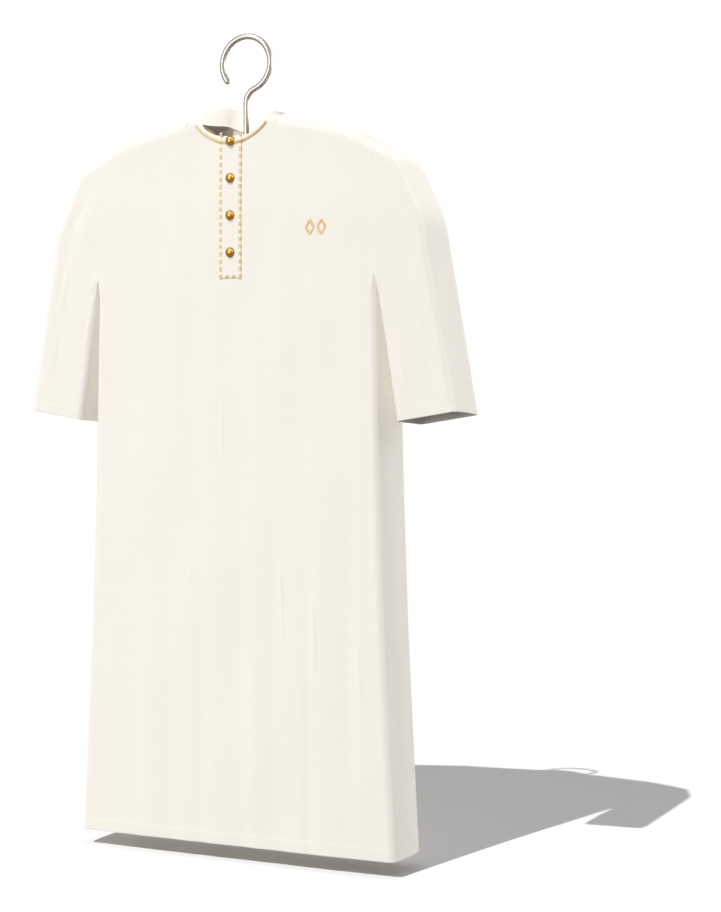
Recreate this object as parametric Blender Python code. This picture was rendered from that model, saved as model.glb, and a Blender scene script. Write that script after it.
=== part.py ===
"""A long white robe with short straight sleeves, hanging on a wide wooden hanger.

Metres, +Z up. The origin is the underside of the hook's top, where a rail carries it.
The front faces -Y, and +X is the wearer's left. Every cloth piece is a thin closed wall
through a grid of points worked out from the sizes below, and the pieces stay SEAM apart.
"""

import math

import bmesh
import bpy
from mathutils import Vector

# ---- cloth and seams
WALL = 0.002  # cloth wall
STRIP_WALL = 0.0012  # button strip
SEAM = 0.0003  # gap between two pieces at a seam, or between a piece and what it lies on

# ---- outline of the right half, seen from the front: (x, z)
NECK_POINT = (0.120, -0.171)
SHOULDER_BEND = (0.256, -0.203)
SHOULDER_TIP = (0.364, -0.263)
UPPER_ARM = (0.4180, -0.3765)
CUFF_OUTER = (0.4890, -0.7585)
CUFF_INNER = (0.364, -0.7785)
ARMPIT = (0.318, -0.4915)
SIDE_MIDDLE = (0.3330, -1.10)  # the side seams draw in a little between armpit and hem
HEM = (0.3620, -1.636)
NECK_CENTRE_Z = -0.161  # the shoulder line carried on over the neck to x = 0
# How far from a corner of the outline its rounding starts
CORNER_CUT = 0.028
SHOULDER_TIP_CUT = 0.016
SIDE_CUT = 0.25

# ---- depth of the robe, front to back
HALF_DEPTH = 0.0635
EDGE_RADIUS = 0.012  # rounding from the front or back to the sides and shoulders
FLAT = HALF_DEPTH - EDGE_RADIUS  # half width of the side and of the shoulder's top
FRONT_CROWN = 0.003  # how far the middle of a panel stands out
CROWN_REACH = 0.200  # from the outline inwards, until the crown is whole
TOP_CROWN = 0.002  # how far the shoulder's ridge and the gore's middle stand out
SLEEVE_TAPER = 0.06  # share of the depth that a sleeve loses down to the cuff
CUFF_TILT = 0.06  # the cuff's front edge is higher than its back edge by this slope
TILT_FROM = 0.75  # share of the sleeve's length where that tilt starts

# ---- neck and collar
NECK_HALF_WIDTH = 0.104
FRONT_NECK_DROP = 0.1099  # over the shoulder and down the front, from ridge to seam
BACK_NECK_DROP = 0.0830
COLLAR_TOP_HALF_WIDTH = 0.092
COLLAR_SIDE_Z = -0.152
COLLAR_FRONT_FALL = 0.051  # the collar's top edge falls by this from its sides to the front
COLLAR_BACK_RISE = 0.0195
COLLAR_BACK_SPREAD = 0.5  # below 1, the back's height is kept further round to the sides
COLLAR_FRONT_Y = -0.0592
COLLAR_SIDE_Y = -0.016  # the collar leans forward a little
COLLAR_BACK_Y = 0.0610
COLLAR_TUCK = 0.001  # how deep the collar's lower edge sits in the neck seam
COLLAR_GAP = 0.0007  # between that edge and the panels

# ---- button strip, braid and buttons
STRIP_HALF_WIDTH = 0.025
STRIP_BOTTOM_Z = -0.488
BRAID_WIDTH = 0.004
BRAID_THICKNESS = 0.0012
BRAID_BELOW_SEAM = 0.003  # from the neck seam to the braid's middle
BRAID_REACH = 50  # degrees round the neck, to each side of the front
BRAID_CLEARS_STRIP = STRIP_HALF_WIDTH + 2 * SEAM  # from the middle, where its climb ends
BRAID_RAMP = 0.004  # over this width the braid climbs onto the strip
STRIP_ON_COLLAR = (0.45, 0.97)  # heights of the strip's points on the collar, as shares
STRIP_OVER_SEAM = 0.0008  # how far the strip passes the neck seam before it bends
BUTTON_ZS = (-0.213, -0.2875, -0.362, -0.4365)
BUTTON_RADIUS = 0.0100
BUTTON_BACK_RADIUS = 0.0094
BUTTON_RIM = 0.0016  # height of the rim under the dome
BUTTON_DOME = 0.0056

# ---- hanger and hook
WIRE_RADIUS = 0.0058
HOOK_RADIUS = 0.0552  # of the wire's centre line
HOOK_TIP_DEGREES = 217
HOOK_BEND_RADIUS = 0.030
STEM_BOTTOM_Z = -0.228
HANGER_HALF_SPAN = 0.335
HANGER_CENTRE_Z = -0.206  # top of the hanger's saddle, where the stem enters
HANGER_SADDLE = 0.045  # half length of the saddle
HANGER_ARM_FROM = 0.112  # from here outwards an arm lies under the shoulder
HANGER_CLEARANCE = 0.0007
HANGER_SQUARENESS = 0.8  # 1 gives an ellipse as the arm's section, less a boxier one

# ---- how finely the cloth is divided
NECK_STEPS = 10  # over a quarter of the neck, and so over half of its width
SHOULDER_STEPS = 7  # from the neck to a panel's rounded edge
EDGE_STEPS = 3  # over one rounded edge
SKIRT_ROWS = 13
EVENING = 0.7  # how much the columns of the skirt even out below the chest
EVENING_DROP = 0.5  # below the armpit, until they are as even as that
EVENING_TO = 0.208  # the columns further out than this at the chest stay as they are
GORE_COLUMNS = 4
GORE_CROWN_DROP = 0.11  # below the armpit, until the gore's crown is whole
SLEEVE_SHARES = (0, 0.05, 0.1, 0.17, 0.25, 0.33, 0.42, 0.54, 0.66, 0.78, 0.9, 1)
# Places from the armpit up to the shoulder, or across a sleeve from its inner side
FACE_SHARES = (0.012, 0.04, 0.1, 0.22, 0.4, 0.6, 0.78, 0.9, 0.96, 0.988)
COLLAR_ROWS = 3
STRIP_ROWS = 7
BUTTON_SIDES = 16
DOME_STEPS = 4
HANGER_SIDES = 14
BORE_SIDES = 24
HOOK_STEPS = 26  # along the hook's circle
BEND_STEPS = 5  # from the hook's circle into the stem
STEM_STEPS = 2
BRAID_STEPS_ON_STRIP = 4  # from the middle to the strip's edge
BRAID_STEPS = 8  # from there to the braid's end

# Soft troughs down the skirt: middle at the hem as a share of the half width, half width
# in metres, depth at the hem in metres, and the height where the trough starts.
TROUGHS = {
    "front": (
        # middle, half width, depth, from z
        (-0.64, 0.036, 0.0024, -0.62),
        (-0.39, 0.034, 0.0030, -0.78),
        (-0.20, 0.028, 0.0020, -0.95),
        (0.06, 0.038, 0.0030, -0.60),
        (0.31, 0.034, 0.0026, -0.74),
        (0.51, 0.030, 0.0020, -0.90),
        (0.77, 0.034, 0.0030, -0.66),
    ),
    "back": (
        (-0.74, 0.034, 0.0026, -0.66),
        (-0.47, 0.038, 0.0030, -0.58),
        (-0.22, 0.030, 0.0020, -0.88),
        (0.02, 0.036, 0.0030, -0.70),
        (0.27, 0.032, 0.0022, -0.92),
        (0.50, 0.036, 0.0030, -0.62),
        (0.75, 0.032, 0.0024, -0.80),
    ),
}


# ------------------------------------------------------------------ small helpers
SMALL_STEP = 0.0005  # metres, for the slope of a surface
SMALL_TURN = 0.01  # radians, for a direction round the neck


def ramp(value, low, high):
    """0 below low, 1 above high, and a smooth change between them."""
    share = min(max((value - low) / (high - low), 0.0), 1.0)
    return share * share * (3 - 2 * share)


def lerp(a, b, share):
    return a + (b - a) * share


def shares(steps):
    return [step / steps for step in range(steps + 1)]


# ------------------------------------------------------------------ the outline
def rounded_corners(corners, cuts, steps=6):
    """The corners joined by straight lines, each inner corner rounded by a small arc."""
    path = [Vector(corners[0])]
    for before, corner, after, cut in zip(corners, corners[1:], corners[2:], cuts):
        corner = Vector(corner)
        start = corner + (Vector(before) - corner).normalized() * cut
        end = corner + (Vector(after) - corner).normalized() * cut
        for share in shares(steps):
            path.append(start.lerp(corner, share).lerp(corner.lerp(end, share), share))
    path.append(Vector(corners[-1]))
    return path


def top_outline():
    """The shoulder and the outer side of the sleeve, from the neck's centre to the cuff."""
    rise = NECK_CENTRE_Z - NECK_POINT[1]
    over_neck = [
        Vector((NECK_POINT[0] * share, NECK_CENTRE_Z - rise * share**4)) for share in shares(8)
    ]
    corners = (NECK_POINT, SHOULDER_BEND, SHOULDER_TIP, UPPER_ARM, CUFF_OUTER)
    return over_neck[:-1] + rounded_corners(corners, (CORNER_CUT, SHOULDER_TIP_CUT, CORNER_CUT))


TOP = top_outline()
UNDERARM = [Vector(ARMPIT), Vector(CUFF_INNER)]
SIDE = rounded_corners((ARMPIT, SIDE_MIDDLE, HEM), (SIDE_CUT,))


def distance_to(point, path):
    """Shortest distance from a point to a chain of straight lines."""
    best = math.inf
    for start, end in zip(path, path[1:]):
        along = end - start
        share = (point - start).dot(along) / along.length_squared
        best = min(best, (point - start - along * min(max(share, 0), 1)).length)
    return best


def inset(x, z):
    """How far a point of the flat view lies inside the robe's outline."""
    point = Vector((abs(x), z))
    return min(distance_to(point, path) for path in (TOP, UNDERARM, SIDE))


def depth_at(x, z):
    """Distance of the outer cloth from the middle plane, rounded towards the outline."""
    inside = inset(x, z)
    short = EDGE_RADIUS - min(inside, EDGE_RADIUS)
    rounding = math.sqrt(EDGE_RADIUS**2 - short**2)
    crown = FRONT_CROWN * ramp(inside, EDGE_RADIUS, CROWN_REACH)
    return FLAT + rounding + crown


def shoulder_z(x):
    """Height of the outline over a given x, for the shoulder only."""
    x = abs(x)
    for start, end in zip(TOP, TOP[1:]):
        if start.x <= x <= end.x:
            return lerp(start.y, end.y, (x - start.x) / (end.x - start.x))
    raise ValueError("x lies outside the shoulder")


def ridge(y):
    """Extra height or width of a flat side at a distance y from the middle plane."""
    return TOP_CROWN * (1 - (y / FLAT) ** 2)


def half_width(z):
    """Half width of the skirt at a height below the armpit."""
    for start, end in zip(SIDE, SIDE[1:]):
        if z >= end.y:
            break
    return lerp(start.x, end.x, (z - start.y) / (end.y - start.y))


def trough(x, z, panel):
    """How far the troughs of a panel push its cloth inwards."""
    if z > ARMPIT[1]:
        return 0.0
    total = 0.0
    for middle, width, depth, start in TROUGHS[panel]:
        off = abs(x - middle * half_width(z)) / width
        if off < 1:
            total += depth * ramp(-z, -start, -HEM[1]) * math.cos(off * math.pi / 2) ** 2
    return total


# ------------------------------------------------------------------ points of the body
SIDE_OF = {"front": -1, "back": 1}
ARC = EDGE_RADIUS * math.pi / 2


def body_point(panel, x, over):
    """Point of a panel at x, `over` metres from the shoulder's ridge down over the cloth."""
    side = SIDE_OF[panel]
    top = shoulder_z(x)
    if over <= FLAT:
        return Vector((x, side * over, top + ridge(over)))
    turned = (over - FLAT) / EDGE_RADIUS
    if turned < math.pi / 2:
        drop = EDGE_RADIUS * (1 - math.cos(turned))
    else:
        drop = EDGE_RADIUS + (over - FLAT - ARC)
    z = top - drop
    return Vector((x, side * depth_at(x, z), z))


def over_at(x, z):
    """The distance over the cloth that body_point takes to reach a height."""
    drop = shoulder_z(x) - z
    if drop < EDGE_RADIUS:
        return FLAT + EDGE_RADIUS * math.acos(1 - drop / EDGE_RADIUS)
    return FLAT + ARC + drop - EDGE_RADIUS


def neck_over(panel, x):
    """Distance over the cloth from the ridge to the neck seam, or 0 beside the neck."""
    if abs(x) >= NECK_HALF_WIDTH:
        return 0.0
    drop = FRONT_NECK_DROP if panel == "front" else BACK_NECK_DROP
    return drop * math.sqrt(1 - (x / NECK_HALF_WIDTH) ** 2)


def column_places():
    """Places across a panel at the armpit's height, denser at the neck and rounded edges."""
    neck = [NECK_HALF_WIDTH * math.sin(share * math.pi / 2) for share in shares(NECK_STEPS)]
    edge = ARMPIT[0] - EDGE_RADIUS
    flat = [lerp(NECK_HALF_WIDTH, edge, share) for share in shares(SHOULDER_STEPS)[1:]]
    turns = [share * math.pi / 2 for share in shares(EDGE_STEPS)[1:]]
    rounded = [edge + EDGE_RADIUS * math.sin(turn) for turn in turns]
    half = neck + flat + rounded
    return [-x for x in reversed(half[1:])] + half


def chest_overs(panel, x):
    """Distances over the cloth, from the armpit's height up to the seam at the top."""
    heights = [lerp(ARMPIT[1], shoulder_z(x), share) for share in (0, *FACE_SHARES)]
    whole = [over_at(x, z) for z in heights] + [FLAT, FLAT / 2, SEAM / 2]
    # A column that ends at the neck keeps the same rows, squeezed below its seam.
    first = neck_over(panel, x) or SEAM / 2
    squeeze = (whole[0] - first) / (whole[0] - whole[-1])
    return [whole[0] - (whole[0] - over) * squeeze for over in whole]


def panel_grid(panel):
    """Rows of the front or back, from the hem up to the neck and shoulder seams."""
    side = SIDE_OF[panel]
    places = column_places()
    rows = []
    for share in shares(SKIRT_ROWS)[:-1]:
        z = lerp(HEM[1], ARMPIT[1], share)
        evening = EVENING * ramp(ARMPIT[1] - z, 0, EVENING_DROP)
        row = []
        for place, even in zip(places, shares(len(places) - 1)):
            kept = ramp(abs(place), EVENING_TO, ARMPIT[0])
            x = lerp(place, lerp(-ARMPIT[0], ARMPIT[0], even), evening * (1 - kept))
            x *= half_width(z) / ARMPIT[0]
            row.append(Vector((x, side * (depth_at(x, z) - trough(x, z, panel)), z)))
        rows.append(row)
    reach = (ARMPIT[0] - SEAM / 2) / ARMPIT[0]
    stacks = []
    for place in places:
        x = place * reach
        stacks.append([body_point(panel, x, over) for over in chest_overs(panel, x)])
    return rows + [list(row) for row in zip(*stacks)]


def gore_grid(side):
    """The flat strip under an arm, from the hem up to the armpit."""
    rows = []
    for share in shares(SKIRT_ROWS):
        z = lerp(HEM[1], ARMPIT[1] - SEAM, share)
        crown = ramp(ARMPIT[1] - z, 0, GORE_CROWN_DROP)
        ys = [lerp(-FLAT + SEAM, FLAT - SEAM, part) for part in shares(GORE_COLUMNS)]
        rows.append([Vector((side * (half_width(z) + ridge(y) * crown), y, z)) for y in ys])
    return rows


# ------------------------------------------------------------------ points of a sleeve
ARMHOLE_X = ARMPIT[0] + SEAM / 2  # the sleeve's edge at the armhole seam
UNDERARM_YS = (SEAM / 2, FLAT / 2, FLAT)  # from the underarm seam to the rounded edge


def along(path, share):
    """Point at a share of a chain's length."""
    lengths = [(end - start).length for start, end in zip(path, path[1:])]
    left = share * sum(lengths)
    for start, length, end in zip(path, lengths, path[1:]):
        if left <= length:
            return start.lerp(end, left / length)
        left -= length
    return path[-1]


def sleeve_outer_path():
    """The part of the top outline outside the armhole."""
    outside = [point for point in TOP if point.x > ARMHOLE_X]
    return [Vector((ARMHOLE_X, shoulder_z(ARMHOLE_X)))] + outside


def sleeve_section(inner, outer, share):
    """One ring of the right sleeve, from the underarm seam round the front and back to it."""
    out = (outer - inner).normalized()
    faces = [inner.lerp(outer, part) for part in FACE_SHARES]
    ring = [(inner, -y) for y in UNDERARM_YS]
    ring += [(spot, -depth_at(spot.x, spot.y)) for spot in faces]
    ring += [(outer + out * ridge(y), y) for y in (-FLAT, -FLAT / 2, 0, FLAT / 2, FLAT)]
    ring += [(spot, depth_at(spot.x, spot.y)) for spot in reversed(faces)]
    ring += [(inner, y) for y in reversed(UNDERARM_YS)]
    taper = 1 - SLEEVE_TAPER * share
    tilt = CUFF_TILT * ramp(share, TILT_FROM, 1)
    return [Vector((spot.x, y * taper, spot.y - y * tilt)) for spot, y in ring]


def sleeve_grid(side):
    """Rings of a sleeve, from the armhole down to the cuff."""
    outer_path = sleeve_outer_path()
    inner_path = [Vector((ARMHOLE_X, ARMPIT[1]))] + UNDERARM[1:]
    rows = []
    for share in SLEEVE_SHARES:
        ring = sleeve_section(along(inner_path, share), along(outer_path, share), share)
        rows.append([Vector((side * point.x, point.y, point.z)) for point in ring])
    return rows


# ------------------------------------------------------------------ collar, strip, braid
def seam_place(turn):
    """Panel, x and distance over the cloth of a place round the neck seam.

    Turn 0 is the front's middle, and a quarter turn is the wearer's left side.
    """
    panel = "front" if math.cos(turn) > 0 else "back"
    drop = FRONT_NECK_DROP if panel == "front" else BACK_NECK_DROP
    return panel, NECK_HALF_WIDTH * math.sin(turn), drop * abs(math.cos(turn))


def neck_seam(turn):
    return body_point(*seam_place(turn))


def collar_top(turn):
    """Point of the collar's top edge, low at the front and high at the back."""
    ahead = math.cos(turn)
    if ahead >= 0:
        y = lerp(COLLAR_SIDE_Y, COLLAR_FRONT_Y, ahead)
        z = COLLAR_SIDE_Z - COLLAR_FRONT_FALL * ahead
    else:
        y = lerp(COLLAR_SIDE_Y, COLLAR_BACK_Y, -ahead)
        z = COLLAR_SIDE_Z + COLLAR_BACK_RISE * (-ahead) ** COLLAR_BACK_SPREAD
    return Vector((COLLAR_TOP_HALF_WIDTH * math.sin(turn), y, z))


def seam_frame(turn):
    """At the neck seam: the direction into the neck's hole, and the cloth's outward normal."""
    panel, x, over = seam_place(turn)
    left = body_point(panel, x + SMALL_STEP, over)
    right = body_point(panel, x - SMALL_STEP, over)
    down = body_point(panel, x, over + SMALL_STEP) - body_point(panel, x, over)
    outward = (left - right).cross(down).normalized()
    if outward.z + outward.y * SIDE_OF[panel] < 0:
        outward = -outward
    round_neck = neck_seam(turn + SMALL_TURN) - neck_seam(turn - SMALL_TURN)
    into = outward.cross(round_neck).normalized()
    if into.dot(Vector((0, 0, COLLAR_SIDE_Z)) - neck_seam(turn)) < 0:
        into = -into
    return into, outward


def collar_point(turn, up):
    """Point of the collar's outer side, up 0 at the neck seam and 1 at its top edge."""
    into, outward = seam_frame(turn)
    foot = neck_seam(turn) + into * COLLAR_GAP - outward * COLLAR_TUCK
    return foot.lerp(collar_top(turn), up)


def collar_out(turn):
    """Direction in which the collar's outer side faces."""
    rise = collar_point(turn, 1) - collar_point(turn, 0)
    round_neck = collar_point(turn + SMALL_TURN, 0.5) - collar_point(turn - SMALL_TURN, 0.5)
    out = rise.cross(round_neck).normalized()
    return out if out.x * math.sin(turn) - out.y * math.cos(turn) > 0 else -out


def collar_turns():
    """Places round the collar, the same as the panels' columns at the neck."""
    gap = SEAM / NECK_HALF_WIDTH
    turns = [2 * math.pi * share for share in shares(4 * NECK_STEPS)]
    return [gap] + turns[1:-1] + [2 * math.pi - gap]


def collar_grid():
    """The band round the neck, open at the middle of the front under the strip."""
    return [[collar_point(turn, up) for turn in collar_turns()] for up in shares(COLLAR_ROWS)]


def collar_foot_normal(row, column, normal):
    """Keeps the wall's lower edge from leaning back into the panels' edge."""
    if row > 0:
        return normal
    into, _ = seam_frame(collar_turns()[column])
    against = max(normal.dot(into), 0)
    return (normal - into * against).normalized()


def strip_turns():
    """Places round the neck of the strip's points: its edges and the collar's columns."""
    edge = math.asin(STRIP_HALF_WIDTH / NECK_HALF_WIDTH)
    column = math.pi / 2 / NECK_STEPS
    return (-edge, -column, 0, column, edge)


def strip_grid():
    """The button strip, lying on the front and then on the collar's front."""
    thick = SEAM + STRIP_WALL
    lift = Vector((0, -thick, 0))
    rows = []
    for share in shares(STRIP_ROWS):
        row = []
        for turn in strip_turns():
            x = NECK_HALF_WIDTH * math.sin(turn)
            bottom = over_at(x, STRIP_BOTTOM_Z)
            top = neck_over("front", x) - STRIP_OVER_SEAM
            row.append(body_point("front", x, lerp(bottom, top, share)) + lift)
        rows.append(row)
    for up in STRIP_ON_COLLAR:
        rows.append([collar_point(turn, up) + collar_out(turn) * thick for turn in strip_turns()])
    return rows


def braid_places():
    """Places across the front for the braid's points, with its climb onto the strip."""
    end = NECK_HALF_WIDTH * math.sin(math.radians(BRAID_REACH))
    half = [BRAID_CLEARS_STRIP * share for share in shares(BRAID_STEPS_ON_STRIP)]
    half += [lerp(BRAID_CLEARS_STRIP + BRAID_RAMP, end, share) for share in shares(BRAID_STEPS)]
    return [-x for x in reversed(half[1:])] + half


def braid_grid():
    """A flat braid round the front of the neck, over the strip."""
    rows = []
    for x in braid_places():
        middle = neck_over("front", x) + BRAID_BELOW_SEAM
        lift = SEAM + BRAID_THICKNESS
        if abs(x) < BRAID_CLEARS_STRIP + SEAM:
            lift += SEAM + STRIP_WALL
        rows.append([
            body_point("front", x, middle + off) + Vector((0, -lift, 0))
            for off in (-BRAID_WIDTH / 2, 0, BRAID_WIDTH / 2)
        ])
    return rows


# ------------------------------------------------------------------ making objects
SHARP_ANGLE = math.radians(40)


def material(name, color, roughness, metallic=0.0):
    made = bpy.data.materials.new(name)
    made.use_nodes = True
    shader = made.node_tree.nodes["Principled BSDF"]
    shader.inputs["Base Color"].default_value = (*color, 1)
    shader.inputs["Roughness"].default_value = roughness
    shader.inputs["Metallic"].default_value = metallic
    return made


def add_object(name, mesh, look):
    mesh.materials.append(look)
    mesh.shade_smooth()
    mesh.set_sharp_from_angle(angle=SHARP_ANGLE)
    made = bpy.data.objects.new(name, mesh)
    bpy.context.scene.collection.objects.link(made)
    return made


def tangent(line, k):
    """Direction of a curve through a line of unevenly spaced points, at its point k."""
    middle = min(max(k, 1), len(line) - 2)
    before = line[middle] - line[middle - 1]
    after = line[middle + 1] - line[middle]
    near, far = before.length, after.length
    slope_before = before / near
    slope_after = after / far
    bend = (slope_after - slope_before) / (near + far)
    at_middle = (slope_before * far + slope_after * near) / (near + far)
    return at_middle + bend * 2 * ((k > middle) * far - (k < middle) * near)


def outward_normals(grid, centres):
    """A unit normal at each point of a grid, pointing away from the row's centre."""
    stacks = list(zip(*grid))
    normals = []
    facing = 0.0
    for i, row in enumerate(grid):
        line = []
        for j, point in enumerate(row):
            normal = tangent(row, j).cross(tangent(stacks[j], i)).normalized()
            facing += normal.dot((point - centres[i]).normalized())
            line.append(normal)
        normals.append(line)
    sign = 1 if facing > 0 else -1
    return [[normal * sign for normal in line] for line in normals], sign


def in_seam_plane(normal):
    """The part of a normal that lies in the plane of an armhole."""
    return Vector((0, normal.y, normal.z)).normalized()


def panel_normal(panel, last_row):
    """Keeps a panel's armhole edges in the seam's plane, and its neck edge square to the cloth."""
    places = column_places()

    def settle(row, column, normal):
        if column in (0, len(places) - 1) and row > SKIRT_ROWS:
            return in_seam_plane(normal)
        if row == last_row and abs(places[column]) < NECK_HALF_WIDTH:
            turn = math.asin(places[column] / NECK_HALF_WIDTH)
            return seam_frame(turn if panel == "front" else math.pi - turn)[1]
        return normal

    return settle


def sleeve_normal(columns):
    """Keeps a sleeve's armhole edge in the plane of the seam, but for its underarm."""
    flat = len(UNDERARM_YS)

    def settle(row, column, normal):
        on_underarm = column < flat or column >= columns - flat
        return normal if row > 0 or on_underarm else in_seam_plane(normal)

    return settle


def cloth_wall(name, grid, centres, look, thickness=WALL, settle=None):
    """A closed wall whose outer face goes through the grid; settle corrects normals at seams."""
    normals, sign = outward_normals(grid, centres)
    rows, columns = len(grid), len(grid[0])
    if settle:
        normals = [
            [settle(i, j, normal) for j, normal in enumerate(line)]
            for i, line in enumerate(normals)
        ]
    mesh_maker = bmesh.new()
    outer = [[mesh_maker.verts.new(point) for point in row] for row in grid]
    inner = [
        [mesh_maker.verts.new(point - normal * thickness) for point, normal in zip(row, line)]
        for row, line in zip(grid, normals)
    ]
    quads = []
    for i in range(rows - 1):
        for j in range(columns - 1):
            corners = ((i, j), (i, j + 1), (i + 1, j + 1), (i + 1, j))
            quads.append([outer[a][b] for a, b in corners])
            quads.append([inner[a][b] for a, b in reversed(corners)])
    for i in range(rows - 1):
        quads.append([outer[i][0], outer[i + 1][0], inner[i + 1][0], inner[i][0]])
        quads.append([outer[i + 1][-1], outer[i][-1], inner[i][-1], inner[i + 1][-1]])
    for j in range(columns - 1):
        quads.append([outer[0][j + 1], outer[0][j], inner[0][j], inner[0][j + 1]])
        quads.append([outer[-1][j], outer[-1][j + 1], inner[-1][j + 1], inner[-1][j]])
    for quad in quads:
        mesh_maker.faces.new(quad if sign > 0 else quad[::-1])
    bmesh.ops.recalc_face_normals(mesh_maker, faces=mesh_maker.faces)
    mesh = bpy.data.meshes.new(name)
    mesh_maker.to_mesh(mesh)
    mesh_maker.free()
    return add_object(name, mesh, look)


def row_centres(grid):
    """The middle of each row of a sleeve's grid."""
    return [sum(row, Vector((0, 0, 0))) / len(row) for row in grid]


def axis_centres(grid):
    """Points of the robe's middle line at the height of each row."""
    return [Vector((0, 0, sum(point.z for point in row) / len(row))) for row in grid]


def lofted(name, rings, look):
    """A closed solid through rings of points, with flat ends."""
    mesh_maker = bmesh.new()
    loops = [[mesh_maker.verts.new(point) for point in ring] for ring in rings]
    count = len(loops[0])
    for before, after in zip(loops, loops[1:]):
        for k in range(count):
            following = (k + 1) % count
            mesh_maker.faces.new((before[k], before[following], after[following], after[k]))
    mesh_maker.faces.new(loops[0][::-1])
    mesh_maker.faces.new(loops[-1])
    bmesh.ops.recalc_face_normals(mesh_maker, faces=mesh_maker.faces)
    mesh = bpy.data.meshes.new(name)
    mesh_maker.to_mesh(mesh)
    mesh_maker.free()
    return add_object(name, mesh, look)


# ------------------------------------------------------------------ the pieces
def make_body(cloth):
    for panel in ("front", "back"):
        grid = panel_grid(panel)
        settle = panel_normal(panel, len(grid) - 1)
        cloth_wall(panel, grid, axis_centres(grid), cloth(panel), settle=settle)
    for name, side in (("gore_left", 1), ("gore_right", -1)):
        grid = gore_grid(side)
        cloth_wall(name, grid, axis_centres(grid), cloth(name))


def make_sleeves(cloth):
    for name, side in (("sleeve_left", 1), ("sleeve_right", -1)):
        grid = sleeve_grid(side)
        settle = sleeve_normal(len(grid[0]))
        cloth_wall(name, grid, row_centres(grid), cloth(name), settle=settle)


def make_neck(cloth):
    grid = collar_grid()
    cloth_wall("collar", grid, axis_centres(grid), cloth("collar"), settle=collar_foot_normal)
    grid = strip_grid()
    cloth_wall("button_strip", grid, axis_centres(grid), cloth("button_strip"), STRIP_WALL)
    grid = braid_grid()
    gold = material("gold_braid", (0.80, 0.54, 0.21), 0.6)
    cloth_wall("neck_braid", grid, axis_centres(grid), gold, BRAID_THICKNESS)


def button_profile():
    """Radius and height of the button's outline, from the back's rim to the dome's top."""
    profile = [(BUTTON_BACK_RADIUS, 0.0), (BUTTON_RADIUS, BUTTON_RIM / 2)]
    for share in shares(DOME_STEPS)[:-1]:
        turn = share * math.pi / 2
        profile.append((BUTTON_RADIUS * math.cos(turn), BUTTON_RIM + BUTTON_DOME * math.sin(turn)))
    return profile


def make_buttons():
    """Four domed buttons down the strip; the top one sits on the braid."""
    turns = [2 * math.pi * share for share in shares(BUTTON_SIDES)[:-1]]
    for number, z in enumerate(BUTTON_ZS, start=1):
        seat = body_point("front", 0, over_at(0, z)).y - 2 * SEAM - STRIP_WALL
        if number == 1:
            seat -= SEAM + BRAID_THICKNESS
        rings = []
        for radius, height in button_profile():
            rings.append([
                Vector((radius * math.cos(turn), seat - height, z + radius * math.sin(turn)))
                for turn in turns
            ])
        gold = material(f"gold_metal_{number}", (0.72, 0.45, 0.10), 0.25, 1.0)
        lofted(f"button_{number}", rings, gold)


def hanger_top(x):
    """Height of the hanger's upper edge: a saddle at the stem, then just under the cloth."""
    x = abs(x)
    slope = (shoulder_z(x + SMALL_STEP) - shoulder_z(x)) / SMALL_STEP
    wall = WALL * math.sqrt(1 + slope**2)
    under_cloth = shoulder_z(x) + TOP_CROWN - wall - HANGER_CLEARANCE
    return lerp(HANGER_CENTRE_Z, under_cloth, ramp(x, HANGER_SADDLE, HANGER_ARM_FROM))


def hanger_ring(x, width, height):
    """A section of the hanger at x, between an ellipse and a box."""
    middle = hanger_top(x) - height / 2
    ring = []
    for share in shares(HANGER_SIDES)[:-1]:
        turn = 2 * math.pi * share
        across = math.copysign(abs(math.sin(turn)) ** HANGER_SQUARENESS, math.sin(turn))
        up = math.copysign(abs(math.cos(turn)) ** HANGER_SQUARENESS, math.cos(turn))
        ring.append(Vector((x, across * width / 2, middle + up * height / 2)))
    return ring


# Sections of one arm: x, width front to back, height
HANGER_SECTIONS = (
    (0.000, 0.026, 0.036),
    (0.020, 0.026, 0.035),
    (0.045, 0.025, 0.031),
    (0.080, 0.025, 0.028),
    (0.115, 0.026, 0.026),
    (0.165, 0.030, 0.024),
    (0.215, 0.036, 0.022),
    (0.250, 0.041, 0.021),
    (0.285, 0.045, 0.020),
    (0.312, 0.046, 0.018),
    (0.328, 0.038, 0.014),
    (HANGER_HALF_SPAN, 0.020, 0.007),
)


def make_hanger():
    wood = material("hanger_wood", (0.43, 0.19, 0.08), 0.5)
    arm = [(-x, width, height) for x, width, height in reversed(HANGER_SECTIONS[1:])]
    rings = [hanger_ring(*section) for section in arm + list(HANGER_SECTIONS)]
    hanger = lofted("hanger", rings, wood)
    bore_bottom = STEM_BOTTOM_Z - SEAM
    bore_top = HANGER_CENTRE_Z + 2 * WIRE_RADIUS
    bpy.ops.mesh.primitive_cylinder_add(
        vertices=BORE_SIDES,
        radius=WIRE_RADIUS + SEAM,
        depth=bore_top - bore_bottom,
        location=(0, 0, (bore_top + bore_bottom) / 2),
    )
    bore = bpy.context.object
    bore.name = "stem_bore"
    bore.hide_render = True
    bore.display_type = "WIRE"
    cut = hanger.modifiers.new("stem bore", "BOOLEAN")
    cut.object = bore
    cut.operation = "DIFFERENCE"
    cut.solver = "EXACT"


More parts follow.
